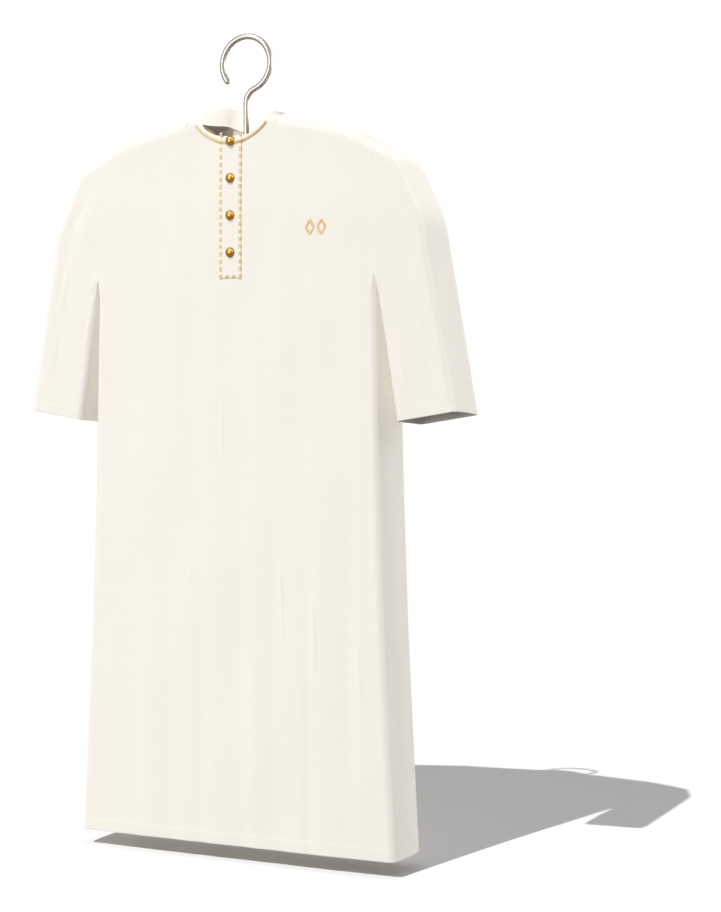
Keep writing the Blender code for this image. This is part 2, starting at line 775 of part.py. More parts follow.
def hook_route():
    """Centre line of the wire: the hook from its tip over the top, the bend, the stem."""
    centre_z = WIRE_RADIUS - HOOK_RADIUS
    fall = math.sqrt(HOOK_RADIUS**2 + 2 * HOOK_RADIUS * HOOK_BEND_RADIUS)
    hook_end = math.degrees(math.atan2(-fall, HOOK_BEND_RADIUS))
    route = []
    for share in shares(HOOK_STEPS):
        turn = math.radians(lerp(HOOK_TIP_DEGREES, hook_end, share))
        route.append((HOOK_RADIUS * math.cos(turn), centre_z + HOOK_RADIUS * math.sin(turn)))
    bend_z = centre_z - fall
    for share in shares(BEND_STEPS)[1:]:
        turn = math.radians(lerp(180 + hook_end, 180, share))
        x = HOOK_BEND_RADIUS * (1 + math.cos(turn))
        route.append((x, bend_z + HOOK_BEND_RADIUS * math.sin(turn)))
    for share in shares(STEM_STEPS)[1:]:
        route.append((0, lerp(bend_z, STEM_BOTTOM_Z, share)))
    return [Vector((x, 0, z)) for x, z in route]


def make_hook():
    steel = material("hook_steel", (0.55, 0.52, 0.47), 0.28, 1.0)
    curve = bpy.data.curves.new("hook", "CURVE")
    curve.dimensions = "3D"
    curve.bevel_depth = WIRE_RADIUS
    curve.bevel_resolution = 3
    curve.use_fill_caps = True
    route = hook_route()
    spline = curve.splines.new("POLY")
    spline.points.add(len(route) - 1)
    for point, place in zip(spline.points, route):
        point.co = (*place, 1)
    curve.materials.append(steel)
    hook = bpy.data.objects.new("hook", curve)
    bpy.context.scene.collection.objects.link(hook)


def main():
    for leftover in list(bpy.data.objects):
        bpy.data.objects.remove(leftover, do_unlink=True)

    def cloth(name):
        return material(f"{name}_cotton", (0.90, 0.87, 0.79), 0.85)

    make_body(cloth)
    make_sleeves(cloth)
    make_neck(cloth)
    make_buttons()
    make_hanger()
    make_hook()


main()
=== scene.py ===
"""Looks of the long cream robe on its wooden hanger: cloth, sewing, trims, metal and wood.

Metres, +Z up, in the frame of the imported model: the origin is the underside of the hook's
top, the front faces -Y and +X is the wearer's left. Every sheet of cloth is a thin shell on
the form of its solid, with its creases and seams worked into the surface.
"""

import math

import bpy
import numpy as np
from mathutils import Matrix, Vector


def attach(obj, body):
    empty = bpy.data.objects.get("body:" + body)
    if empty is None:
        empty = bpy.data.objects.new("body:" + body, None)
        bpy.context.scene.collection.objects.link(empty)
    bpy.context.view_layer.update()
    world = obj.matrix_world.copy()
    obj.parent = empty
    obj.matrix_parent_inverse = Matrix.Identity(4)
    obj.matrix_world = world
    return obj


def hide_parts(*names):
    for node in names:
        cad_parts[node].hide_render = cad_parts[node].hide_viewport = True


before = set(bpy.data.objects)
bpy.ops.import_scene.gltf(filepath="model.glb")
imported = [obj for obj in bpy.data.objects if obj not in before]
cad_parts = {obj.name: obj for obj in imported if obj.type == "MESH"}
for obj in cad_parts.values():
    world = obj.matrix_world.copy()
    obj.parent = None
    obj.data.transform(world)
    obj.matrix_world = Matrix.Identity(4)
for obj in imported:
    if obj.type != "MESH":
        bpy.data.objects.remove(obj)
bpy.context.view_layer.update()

# ---- outline of one half, seen from the front: (x, z); the other half mirrors it
NECK_POINT = (0.120, -0.171)
SHOULDER_BEND = (0.256, -0.203)
SHOULDER_TIP = (0.364, -0.263)
UPPER_ARM = (0.4180, -0.3765)
CUFF_OUTER = (0.4890, -0.7585)
CUFF_INNER = (0.364, -0.7785)
ARMPIT = (0.318, -0.4915)
SIDE_MIDDLE = (0.3330, -1.10)
HEM = (0.3620, -1.636)
NECK_CENTRE_Z = -0.161  # the shoulder line carried on over the neck
CORNER_CUT = 0.028  # a corner is rounded from this far before it to this far after
SHOULDER_TIP_CUT = 0.016
SIDE_CUT = 0.25
CORNER_STEPS = 14  # over one rounded corner
OVER_NECK_STEPS = 24

# ---- depth of the robe
HALF_DEPTH = 0.0635
EDGE_RADIUS = 0.012  # rounding from the front or back to the sides and shoulders
FLAT = HALF_DEPTH - EDGE_RADIUS  # half width of the side and of the shoulder's top
FRONT_CROWN = 0.003  # how far the middle of a panel stands out
CROWN_REACH = 0.200  # from the outline inwards, until the crown is whole
CROWN_BLEND = 0.025  # how softly the crowns of two neighbouring edges meet
ARMPIT_EDGE = 0.0022  # the edges are rounded this narrowly right at the armpit
ARMPIT_FROM, ARMPIT_REACH = 0.004, 0.050  # from the armpit, until they are fully rounded
TOP_CROWN = 0.002  # how far the shoulder's ridge and the gore's middle stand out
SLEEVE_TAPER = 0.06  # share of the depth that a sleeve loses down to the cuff
CUFF_TILT = 0.06  # the cuff's front edge is higher than its back edge by this slope
TILT_FROM = 0.75  # share of the sleeve's length where that tilt starts

# ---- neck, collar, strip, braid and buttons
NECK_HALF_WIDTH = 0.104
FRONT_NECK_DROP = 0.1099  # over the shoulder and down the front, from ridge to seam
BACK_NECK_DROP = 0.0830
COLLAR_TOP_HALF_WIDTH = 0.092
COLLAR_SIDE_Z = -0.152
COLLAR_FRONT_FALL = 0.051  # the collar's top edge falls by this from its sides to the front
COLLAR_BACK_RISE = 0.0195
COLLAR_SLIP = 0.0062  # the collar hangs a little lower on the wearer's left
COLLAR_FRONT_Y = -0.0610
COLLAR_SIDE_Y = -0.016
COLLAR_BACK_Y = 0.0610
COLLAR_TUCK = 0.001  # how deep the collar's lower edge sits in the neck seam
COLLAR_GAP = 0.0007  # between that edge and the panels
STRIP_HALF_WIDTH = 0.025
STRIP_BOTTOM_Z = -0.488
STRIP_WALL = 0.0012
STRIP_ON_COLLAR = (0.10, 0.97)  # heights of the strip's ends on the collar, as shares
STRIP_OVER_SEAM = 0.0008  # how far the strip passes the neck seam before it bends
BRAID_BELOW_SEAM = 0.003  # from the neck seam to the braid's middle
BRAID_REACH = 50  # degrees round the neck, to each side of the front
BRAID_RAMP = 0.004  # over this width the braid climbs onto the strip
BRAID_THICKNESS = 0.0012  # under the top button
BUTTON_ZS = (-0.213, -0.2875, -0.362, -0.4365)

# ---- hanger and hook
WIRE_RADIUS = 0.0058
HOOK_RADIUS = 0.0552
HOOK_TIP_DEGREES = 217
HOOK_BEND_RADIUS = 0.030
STEM_BOTTOM_Z = -0.228
HANGER_CENTRE_Z = -0.206  # top of the hanger's saddle, where the stem enters
HANGER_SADDLE = 0.045  # half length of the saddle
HANGER_ARM_FROM = 0.112  # from here outwards an arm lies under the shoulder
HANGER_CLEARANCE = 0.0007
HANGER_SQUARENESS = 0.8  # 1 gives an ellipse as the arm's section, less a boxier one
SOLID_WALL = 0.002  # wall of the cloth solids, which the hanger lies under
HANGER_SECTIONS = (
    # x, width front to back, height
    (0.000, 0.026, 0.036),
    (0.020, 0.026, 0.035),
    (0.045, 0.025, 0.031),
    (0.080, 0.025, 0.028),
    (0.115, 0.026, 0.026),
    (0.165, 0.030, 0.024),
    (0.215, 0.036, 0.022),
    (0.250, 0.041, 0.021),
    (0.285, 0.045, 0.020),
    (0.312, 0.046, 0.018),
    (0.328, 0.038, 0.014),
    (0.335, 0.020, 0.007),
)

# ---- cloth and seams
SEAM = 0.0003  # gap between two pieces that lie on each other
JOIN = 0.00008  # gap between two sheets that are sewn edge to edge
CLOTH = 0.0016  # thickness of the shells
COLLAR_CLOTH = 0.0022
SEAM_ROLL = 0.00022  # how far an edge rolls in at a seam
SEAM_ROLL_WIDTH = 0.0018
HEM_STEP = 0.0002  # how far the doubled cloth of a hem stands out
HEM_TURN = 0.024  # height of the turned hem
CUFF_TURN = 0.020
HEM_BLEND = 0.0008  # to each side of the hem's upper line, where its step is softened
SEAM_CALM = 0.016  # creases fade out over this distance from a seam
SLEEVE_CALM, GORE_CALM = 0.008, 0.020
CALM_FROM = 0.0008
OPEN_EDGE_ROUNDING = 0.3  # share of the thickness that an open edge loses on each side

# Soft troughs down the skirt: middle at the hem as a share of the half width, half width
# in metres, depth at the hem in metres, and the height where the trough starts.
TROUGHS = {
    "front": (
        # middle, half width, depth, from z
        (-0.64, 0.036, 0.0012, -0.62),
        (-0.39, 0.034, 0.0014, -0.78),
        (-0.20, 0.028, 0.0010, -0.95),
        (0.06, 0.038, 0.0014, -0.60),
        (0.31, 0.034, 0.0012, -0.74),
        (0.51, 0.030, 0.0010, -0.90),
        (0.77, 0.034, 0.0013, -0.66),
    ),
    "back": (
        (-0.74, 0.034, 0.0026, -0.66),
        (-0.47, 0.038, 0.0030, -0.58),
        (-0.22, 0.030, 0.0020, -0.88),
        (0.02, 0.036, 0.0030, -0.70),
        (0.27, 0.032, 0.0022, -0.92),
        (0.50, 0.036, 0.0030, -0.62),
        (0.75, 0.032, 0.0024, -0.80),
    ),
}

# Long shallow folds, steep on one side: where the steep side starts and how wide it is, the
# width of the gentle side, the height, and the heights of the robe where the fold starts and
# where it is whole. A fold hangs straight down.
FOLDS = {
    "front": (
        # x, steep, gentle, height, from z, whole at z
        (-0.2355, 0.019, 0.052, 0.00075, -0.28, -0.46),
        (-0.1515, 0.019, 0.046, 0.00075, -0.26, -0.42),
        (-0.0725, 0.028, 0.050, 0.00090, -0.50, -0.62),
        (0.0205, 0.034, 0.036, 0.00100, -0.50, -0.60),
        (0.0938, 0.018, 0.055, 0.00070, -0.24, -0.40),
        (0.1726, 0.022, 0.055, 0.00085, -0.45, -0.60),
        (0.2567, 0.032, 0.016, 0.00090, -0.36, -0.62),
        (-0.3110, 0.020, 0.030, 0.00060, -1.05, -1.40),
        (-0.1080, 0.016, 0.020, 0.00045, -0.95, -1.20),
        (-0.0035, 0.016, 0.010, 0.00040, -1.10, -1.35),
        (0.1460, 0.015, 0.012, 0.00045, -1.12, -1.38),
        (0.2125, 0.011, 0.024, 0.00040, -1.16, -1.42),
    ),
    "back": (
        (-0.2680, 0.020, 0.050, 0.00080, -0.34, -0.55),
        (-0.1820, 0.024, 0.044, 0.00085, -0.27, -0.44),
        (-0.0980, 0.018, 0.056, 0.00075, -0.30, -0.50),
        (-0.0120, 0.030, 0.040, 0.00095, -0.24, -0.40),
        (0.0740, 0.020, 0.050, 0.00080, -0.46, -0.62),
        (0.1560, 0.026, 0.038, 0.00085, -0.29, -0.47),
        (0.2440, 0.020, 0.030, 0.00075, -0.40, -0.60),
        (0.3020, 0.016, 0.024, 0.00050, -1.08, -1.35),
        (0.1180, 0.014, 0.018, 0.00045, -1.00, -1.25),
        (-0.2260, 0.013, 0.016, 0.00040, -1.12, -1.36),
    ),
}

# Creases: both ends as (x, z), half width and height, which is below zero in a trough.
CREASES = {
    "front": (
        # x, z, x, z, half width, height
        (0.1116, -1.048, 0.1186, -1.2160, 0.0050, 0.0014),
        (0.1833, -1.125, 0.1925, -1.2640, 0.0055, 0.0020),
        (0.1940, -1.215, 0.1985, -1.2700, 0.0050, -0.0004),
        (0.2800, -1.200, 0.2892, -1.3260, 0.0050, 0.0016),
        (-0.0200, -0.718, -0.0212, -0.8600, 0.0060, 0.0010),
        (0.0489, -0.725, 0.0492, -0.8100, 0.0060, -0.0004),
        (-0.0961, -1.075, -0.0975, -1.1120, 0.0050, 0.0011),
        (0.2325, -1.175, 0.2340, -1.2600, 0.0065, 0.0005),
        (-0.1560, -1.190, -0.1600, -1.2800, 0.0060, -0.0004),
        (-0.3000, -0.520, -0.2660, -0.5820, 0.0080, -0.0004),
        (0.3020, -0.512, 0.2700, -0.5700, 0.0080, -0.0004),
        (-0.1180, -0.230, -0.1760, -0.2850, 0.0120, 0.0004),
        (0.1260, -0.236, 0.1900, -0.3000, 0.0120, 0.0004),
        (0.2420, -0.262, 0.2920, -0.3400, 0.0110, -0.0004),
        (-0.2280, -0.255, -0.2880, -0.3220, 0.0110, -0.0004),
    ),
    "back": (
        (-0.105, -0.985, -0.114, -1.175, 0.010, 0.0010),
        (-0.118, -1.030, -0.127, -1.150, 0.008, -0.0008),
        (0.142, -1.090, 0.155, -1.255, 0.010, -0.0010),
        (0.031, -0.820, 0.027, -0.970, 0.009, 0.0008),
        (0.254, -1.160, 0.262, -1.300, 0.010, 0.0009),
        (-0.240, -1.210, -0.252, -1.345, 0.009, -0.0009),
        (0.300, -0.520, 0.258, -0.590, 0.009, -0.0009),
        (0.303, -0.505, 0.283, -0.632, 0.007, 0.0008),
        (-0.301, -0.515, -0.266, -0.574, 0.008, -0.0008),
        (-0.304, -0.500, -0.287, -0.600, 0.007, 0.0007),
        (0.060, -0.245, 0.170, -0.262, 0.013, 0.0007),
        (-0.072, -0.252, -0.160, -0.268, 0.012, -0.0006),
        (0.210, -0.262, 0.285, -0.345, 0.012, -0.0007),
        (-0.222, -0.270, -0.290, -0.352, 0.012, 0.0007),
    ),
    "sleeve_right_front": (
        (0.3190, -0.4930, 0.3225, -0.5200, 0.0028, -0.0022),
        (0.3215, -0.4940, 0.3310, -0.5215, 0.0030, -0.0022),
        (0.3240, -0.4930, 0.3380, -0.5170, 0.0030, -0.0018),
        (0.3370, -0.5500, 0.3560, -0.6350, 0.0070, 0.0008),
        (0.3900, -0.4400, 0.4180, -0.5700, 0.0110, 0.0008),
        (0.4140, -0.5900, 0.4330, -0.7050, 0.0100, -0.0008),
        (0.3450, -0.3150, 0.3850, -0.3800, 0.0120, -0.0008),
        (0.4360, -0.4900, 0.4560, -0.6100, 0.0090, 0.0006),
    ),
    "sleeve_left_front": (
        (0.3205, -0.4945, 0.3260, -0.5180, 0.0026, -0.0003),
        (0.3250, -0.4940, 0.3360, -0.5150, 0.0030, -0.0003),
        (0.3420, -0.5650, 0.3570, -0.6400, 0.0080, -0.0007),
        (0.3980, -0.4700, 0.4200, -0.6050, 0.0110, 0.0008),
        (0.4250, -0.6200, 0.4390, -0.7150, 0.0090, -0.0007),
        (0.3720, -0.6300, 0.3820, -0.7250, 0.0090, 0.0006),
        (0.3400, -0.3300, 0.3760, -0.4050, 0.0120, 0.0008),
        (0.4280, -0.4400, 0.4440, -0.5300, 0.0090, -0.0006),
    ),
    "sleeve_right_back": (
        (0.3200, -0.4920, 0.3420, -0.5180, 0.0040, 0.0014),
        (0.3190, -0.4960, 0.3290, -0.5360, 0.0036, -0.0014),
        (0.3450, -0.5400, 0.3660, -0.6500, 0.0100, -0.0008),
        (0.3860, -0.4100, 0.4150, -0.5500, 0.0120, 0.0009),
        (0.4060, -0.6100, 0.4200, -0.7100, 0.0100, 0.0007),
        (0.4430, -0.5600, 0.4600, -0.6900, 0.0100, -0.0007),
    ),
    "sleeve_left_back": (
        (0.3195, -0.4930, 0.3380, -0.5230, 0.0040, -0.0014),
        (0.3230, -0.4880, 0.3500, -0.5110, 0.0040, 0.0013),
        (0.3520, -0.5500, 0.3680, -0.6300, 0.0090, 0.0008),
        (0.3780, -0.4300, 0.4120, -0.5300, 0.0120, -0.0009),
        (0.4150, -0.5800, 0.4340, -0.7200, 0.0110, 0.0008),
        (0.4380, -0.4800, 0.4500, -0.5700, 0.0090, 0.0006),
    ),
}

# Slow waves that keep a wide sheet from lying dead flat: how many metres one wave takes
# across and along, where it starts as a share of a wave, and its height.
SLOW_WAVES = (
    # across, along, start, height
    (0.131, 1.70, 0.10, 0.00030),
    (0.083, 1.10, 0.45, 0.00016),
    (0.236, 0.62, 0.72, 0.00035),
    (0.410, 0.37, 0.31, 0.00030),
)
GORE_SHIFT, SLEEVE_SHIFT = 0.37, 0.21  # metres, so that left and right have other waves


# ------------------------------------------------------------------ small helpers
def ramp(value, low, high):
    """0 below low, 1 above high, and a smooth change between them."""
    share = np.clip((value - low) / (high - low), 0.0, 1.0)
    return share * share * (3 - 2 * share)


def lerp(a, b, share):
    return a + (b - a) * share


def unit(vectors):
    return vectors / np.linalg.norm(vectors, axis=-1, keepdims=True)


def vectors(x, y, z):
    """Three arrays or numbers joined into points."""
    return np.stack(np.broadcast_arrays(x, y, z), axis=-1).astype(float)


def lengths_along(points):
    """How far each point of a line lies from the line's start, over the line."""
    steps = np.linalg.norm(np.diff(points, axis=0), axis=-1)
    return np.concatenate([np.zeros((1,) + steps.shape[1:]), np.cumsum(steps, axis=0)])


def at_length(points, gone, places):
    """The line's values at given distances from its start."""
    return np.stack([np.interp(places, gone, part) for part in points.T], axis=-1)


# ------------------------------------------------------------------ the outline
def rounded_corners(corners, cuts):
    """The corners joined by straight lines, each inner corner rounded by a small arc."""
    corners = [np.array(corner) for corner in corners]
    path = [corners[0]]
    for before, corner, after, cut in zip(corners, corners[1:], corners[2:], cuts):
        start = corner + unit(before - corner) * cut
        end = corner + unit(after - corner) * cut
        for share in np.linspace(0, 1, CORNER_STEPS + 1):
            path.append(lerp(lerp(start, corner, share), lerp(corner, end, share), share))
    return np.array(path + [corners[-1]])


def top_outline():
    """The shoulder and the outer side of the sleeve, from the neck's centre to the cuff."""
    places = np.linspace(0, 1, OVER_NECK_STEPS + 1)[:-1]
    fall = (NECK_CENTRE_Z - NECK_POINT[1]) * places**4
    over_neck = np.stack([NECK_POINT[0] * places, NECK_CENTRE_Z - fall], axis=-1)
    corners = (NECK_POINT, SHOULDER_BEND, SHOULDER_TIP, UPPER_ARM, CUFF_OUTER)
    sleeve = rounded_corners(corners, (CORNER_CUT, SHOULDER_TIP_CUT, CORNER_CUT))
    return np.concatenate([over_neck, sleeve])


TOP = top_outline()
UNDERARM = np.array([ARMPIT, CUFF_INNER])
SIDE = rounded_corners((ARMPIT, SIDE_MIDDLE, HEM), (SIDE_CUT,))


def distance_to(x, z, path):
    """Shortest distance from points of the flat view to a chain of straight lines."""
    best = np.full(np.shape(x), np.inf)
    for (x0, z0), (x1, z1) in zip(path, path[1:]):
        dx, dz = x1 - x0, z1 - z0
        share = np.clip(((x - x0) * dx + (z - z0) * dz) / (dx * dx + dz * dz), 0, 1)
        best = np.minimum(best, np.hypot(x - x0 - dx * share, z - z0 - dz * share))
    return best


def depth_at(x, z):
    """Distance of the outer cloth from the middle plane, rounded towards the outline."""
    away = [distance_to(np.abs(x), z, path) for path in (TOP, UNDERARM, SIDE)]
    from_armpit = np.hypot(np.abs(x) - ARMPIT[0], z - ARMPIT[1])
    rounded = lerp(ARMPIT_EDGE, EDGE_RADIUS, ramp(from_armpit, ARMPIT_FROM, ARMPIT_REACH))
    short = 1 - np.minimum(np.minimum.reduce(away) / rounded, 1)
    rounding = EDGE_RADIUS * np.sqrt(1 - short**2)
    blended = -CROWN_BLEND * np.log(sum(np.exp(-part / CROWN_BLEND) for part in away))
    return FLAT + rounding + FRONT_CROWN * ramp(blended, EDGE_RADIUS, CROWN_REACH)


def shoulder_z(x):
    """Height of the outline over a given x."""
    return np.interp(np.abs(x), TOP[:, 0], TOP[:, 1])


def ridge(y):
    """Extra height or width of a flat side at a distance y from the middle plane."""
    return TOP_CROWN * (1 - (y / FLAT) ** 2)


def half_width(z):
    """Half width of the skirt at a height below the armpit."""
    return np.interp(-z, -SIDE[:, 1], SIDE[:, 0])


def trough(x, z, panel):
    """How far the troughs of a panel push its cloth inwards."""
    total = 0.0
    for middle, width, depth, start in TROUGHS[panel]:
        off = np.minimum(np.abs(x - middle * half_width(z)) / width, 1)
        total = total + depth * ramp(-z, -start, -HEM[1]) * np.cos(off * math.pi / 2) ** 2
    return total


def crease(x, z, name):
    """Height of the creases of a piece at points of its flat view."""
    total = np.zeros(np.shape(x))
    for x0, z0, x1, z1, width, height in CREASES[name]:
        dx, dz = x1 - x0, z1 - z0
        length = math.hypot(dx, dz)
        along = ((x - x0) * dx + (z - z0) * dz) / length**2
        off = np.abs((x - x0) * dz - (z - z0) * dx) / length / width
        fade = np.where((along > 0) & (along < 1), np.sin(math.pi * np.clip(along, 0, 1)), 0)
        total += height * np.sqrt(fade) * np.cos(np.minimum(off, 1) * math.pi / 2) ** 2
    return total


def fold(x, z, panel):
    """Height of the long folds of a panel."""
    total = np.zeros(np.shape(x))
    for start, steep, gentle, height, from_z, whole_z in FOLDS[panel]:
        rise = ramp(x, start, start + steep)
        fall = 1 - ramp(x, start + steep, start + steep + gentle)
        total += height * rise * fall * ramp(-z, -from_z, -whole_z)
    return total


def slow_waves(across, along):
    total = 0.0
    for wide, long, start, height in SLOW_WAVES:
        total = total + height * np.sin(2 * math.pi * (across / wide + along / long + start))
    return total


# ------------------------------------------------------------------ points of the body
SIDE_OF = {"front": -1, "back": 1}
ARC = EDGE_RADIUS * math.pi / 2


def body_point(panel, x, over):
    """Points of a panel at x, `over` metres from the shoulder's ridge down over the cloth."""
    side = SIDE_OF[panel]
    top = shoulder_z(x)
    turned = np.clip((over - FLAT) / EDGE_RADIUS, 0, math.pi / 2)
    drop = EDGE_RADIUS * (1 - np.cos(turned)) + np.maximum(over - FLAT - ARC, 0)
    z = top - drop
    on_top = over <= FLAT
    y = np.where(on_top, over, depth_at(x, z))
    return vectors(x, side * y, np.where(on_top, top + ridge(np.minimum(over, FLAT)), z))


def over_at(x, z):
    """The distance over the cloth that body_point takes to reach a height."""
    drop = shoulder_z(x) - z
    turned = np.arccos(np.clip(1 - drop / EDGE_RADIUS, 0, 1))
    return FLAT + np.where(drop < EDGE_RADIUS, EDGE_RADIUS * turned, ARC + drop - EDGE_RADIUS)


def neck_over(panel, x):
    """Distance over the cloth from the ridge to the neck seam, or 0 beside the neck."""
    drop = FRONT_NECK_DROP if panel == "front" else BACK_NECK_DROP
    return drop * np.sqrt(np.maximum(1 - (x / NECK_HALF_WIDTH) ** 2, 0))


SMALL_STEP = 0.0005  # metres, for the slope of a surface
SMALL_TURN = 0.01  # radians, for a direction round the neck


def body_frame(panel, x, over):
    """At a point of a panel: its place and its outward normal."""
    place = body_point(panel, x, over)
    wide = body_point(panel, x + SMALL_STEP, over) - body_point(panel, x - SMALL_STEP, over)
    down = body_point(panel, x, over + SMALL_STEP) - place
    outward = unit(np.cross(wide, down))
    facing = outward[..., 2] + outward[..., 1] * SIDE_OF[panel]
    return place, outward * np.where(facing < 0, -1, 1)[..., None]


# ------------------------------------------------------------------ a sheet of cloth
def slopes(points, axis):
    """Directions of a grid's lines along one axis, for unevenly spaced points."""
    points = np.moveaxis(points, axis, 0)
    steps = np.diff(points, axis=0)
    sizes = np.linalg.norm(steps, axis=-1, keepdims=True)
    ways = steps / sizes
    inner = (ways[:-1] * sizes[1:] + ways[1:] * sizes[:-1]) / (sizes[1:] + sizes[:-1])
    return np.moveaxis(np.concatenate([ways[:1], inner, ways[-1:]]), 0, axis)


def inwards(grid, edge):
    """A grid turned so that its lines follow each other inwards from one of its edges."""
    lines = np.moveaxis(grid, 0 if edge in ("bottom", "top") else 1, 0)
    return lines[::-1] if edge in ("top", "right") else lines


def from_edge(points, edge):
    """Distance of each point of a grid from one of its edges, measured over the cloth."""
    gone = lengths_along(inwards(points, edge))
    if edge in ("top", "right"):
        gone = gone[::-1]
    return gone if edge in ("bottom", "top") else gone.T


EDGES = ("bottom", "top", "left", "right")
SEWN = EDGES[1:]  # the edges of a panel or gore that are sewn to others


class Sheet:
    """A sheet of cloth as a grid of outer points, with its normals and its own measure."""

    def __init__(self, points, centres):
        self.points = points
        self.away = {edge: from_edge(points, edge) for edge in EDGES}
        middle = points.shape[1] // 2
        across = self.away["left"] - self.away["left"][:, middle : middle + 1]
        self.measure = vectors(across, self.away["bottom"], 0.0)
        normals = unit(np.cross(slopes(points, 1), slopes(points, 0)))
        self.sign = 1 if np.sum(normals * (points - centres)) > 0 else -1
        self.normals = normals * self.sign

    def raise_by(self, height):
        """Moves the outer points out and turns the normals to the new surface."""
        self.points = self.points + self.normals * height[..., None]
        self.shaded = self.sign * unit(np.cross(slopes(self.points, 1), slopes(self.points, 0)))

    def calm(self, edges=EDGES, width=SEAM_CALM):
        """1 inside the sheet, falling to 0 at the given edges."""
        share = np.ones(self.points.shape[:2])
        for edge in edges:
            share = share * ramp(self.away[edge], CALM_FROM, width)
        return share

    def hem(self, edge, turn):
        """Height of the doubled cloth of a turned hem along an edge."""
        return HEM_STEP * (1 - ramp(self.away[edge], turn - HEM_BLEND, turn + HEM_BLEND))

    def roll(self, edges=EDGES, depth=SEAM_ROLL, width=SEAM_ROLL_WIDTH):
        """How far the edges roll in at their seams."""
        total = np.zeros(self.points.shape[:2])
        for edge in edges:
            short = np.clip(1 - self.away[edge] / width, 0, 1)
            total = np.maximum(total, depth * short**2)
        return total

    def beside(self, edge, distance):
        """Points and normals of the line that runs at a distance from one edge."""
        parts = (self.away[edge], self.points, self.shaded)
        away, points, normals = (inwards(part, edge) for part in parts)
        after = np.maximum((away < distance).sum(axis=0), 1)
        lines = np.arange(away.shape[1])
        before_away, after_away = away[after - 1, lines], away[after, lines]
        share = ((distance - before_away) / (after_away - before_away))[:, None]
        place = lerp(points[after - 1, lines], points[after, lines], share)
        return place, unit(lerp(normals[after - 1, lines], normals[after, lines], share))


SHARP = 50  # degrees between two faces, for a sharp edge


def corner_grid(rows, columns):
    """The numbers of the points of a grid."""
    return np.arange(rows * columns).reshape(rows, columns)


def ring_quads(corner):
    """Faces between closed rings of points, where each ring is a row of the grid."""
    after = np.roll(corner, -1, axis=1)
    return np.stack([corner[:-1], corner[1:], after[1:], after[:-1]], axis=-1).reshape(-1, 4)


def add_piece(name, points, faces, look, measure=None, stands_for=None, sharp=None):
    """A mesh object that rides with the robe; sharp is the angle of its sharp edges."""
    mesh = bpy.data.meshes.new(name)
    mesh.from_pydata(np.reshape(points, (-1, 3)).tolist(), [], faces)
    if measure is not None:
        held = mesh.attributes.new("measure", "FLOAT_VECTOR", "POINT")
        held.data.foreach_set("vector", np.ravel(measure))
    mesh.shade_smooth()
    mesh.materials.append(look)
    mesh.update()
    if sharp is not None:
        mesh.set_sharp_from_angle(angle=math.radians(sharp))
    made = bpy.data.objects.new(name, mesh)
    bpy.context.scene.collection.objects.link(made)
    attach(made, "root")
    if stands_for is not None:
        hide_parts(stands_for)
    return made


def add_shell(node, sheet, look, thickness, open_edge):
    """A closed thin shell under a sheet; its open edge, if it has one, is rounded over."""
    inner = sheet.points - sheet.normals * thickness
    outer = sheet.points
    if open_edge is not None:
        short = np.clip(1 - sheet.away[open_edge] / thickness, 0, 1)[..., None] ** 2
        lost = sheet.normals * short * thickness * OPEN_EDGE_ROUNDING
        outer, inner = outer - lost, inner + lost
    corner = corner_grid(*outer.shape[:2])
    around = (corner[:-1, :-1], corner[:-1, 1:], corner[1:, 1:], corner[1:, :-1])
    quads = np.stack(around, axis=-1).reshape(-1, 4)
    rims = []
    for line in (corner[0, ::-1], corner[-1], corner[:, 0], corner[::-1, -1]):
        below = line + corner.size
        rims.append(np.stack([line[:-1], line[1:], below[1:], below[:-1]], axis=-1))
    faces = np.concatenate([quads, quads[:, ::-1] + corner.size] + rims)
    if sheet.sign < 0:
        faces = faces[:, ::-1]
    points = np.concatenate([outer, inner])
    measure = np.concatenate([sheet.measure, sheet.measure])
    return add_piece(
        node + "_cloth", points, faces.tolist(), look, measure, stands_for=node, sharp=SHARP
    )


def in_seam_plane(normals):
    """Normals turned into the plane of the armhole seam, where two sheets meet."""
    flat = normals.copy()
    flat[..., 0] = 0
    return unit(flat)


# ------------------------------------------------------------------ where the grid lines run
NEAR_SEAM = (0.0, 0.0006, 0.0015, 0.003, 0.006, 0.010)  # distances of the lines at a seam
NEAR_HEM = (0.0, 0.0006, 0.0015, 0.003, 0.009, 0.016, 0.0225, 0.024, 0.0255, 0.031)
EDGE_PLACES = NEAR_SEAM + (0.0145,)
NECK_COLUMNS = 38
SHOULDER_COLUMNS = 58
SKIRT_STEP = 0.0095
FINE_STEP = 0.003
FINE_REACH = 0.042  # of the fine rows, above and below the armpit
CHEST_STEP = 0.0075
CHEST_LENGTH = 0.300  # nominal, from the armpit over the shoulder's edge to the seam
EVENING = 0.7  # how much the columns of the skirt even out below the chest
EVENING_DROP = 0.5  # below the armpit, until they are as even as that
EVENING_TO = 0.208  # the columns further out than this at the chest stay as they are
SEAM_COLUMNS_FROM = 0.020  # above the armpit, until the columns are spaced for the armhole
GORE_STEP = 0.006
GORE_CROWN_DROP = 0.11  # below the armpit, until the gore's crown is whole
GORE_WAVES = 1.6  # how much higher the gore's slow waves are than a panel's


def even_steps(start, end, step):
    """Places between two ends that split the way into equal parts near a wanted step."""
    return np.linspace(start, end, max(round(abs(end - start) / step), 1) + 1)


def joined(*parts):
    """Runs of places joined, where each run starts at the last place of the one before."""
    whole = list(parts[0])
    for part in parts[1:]:
        whole += list(part[1:])
    return np.array(whole)


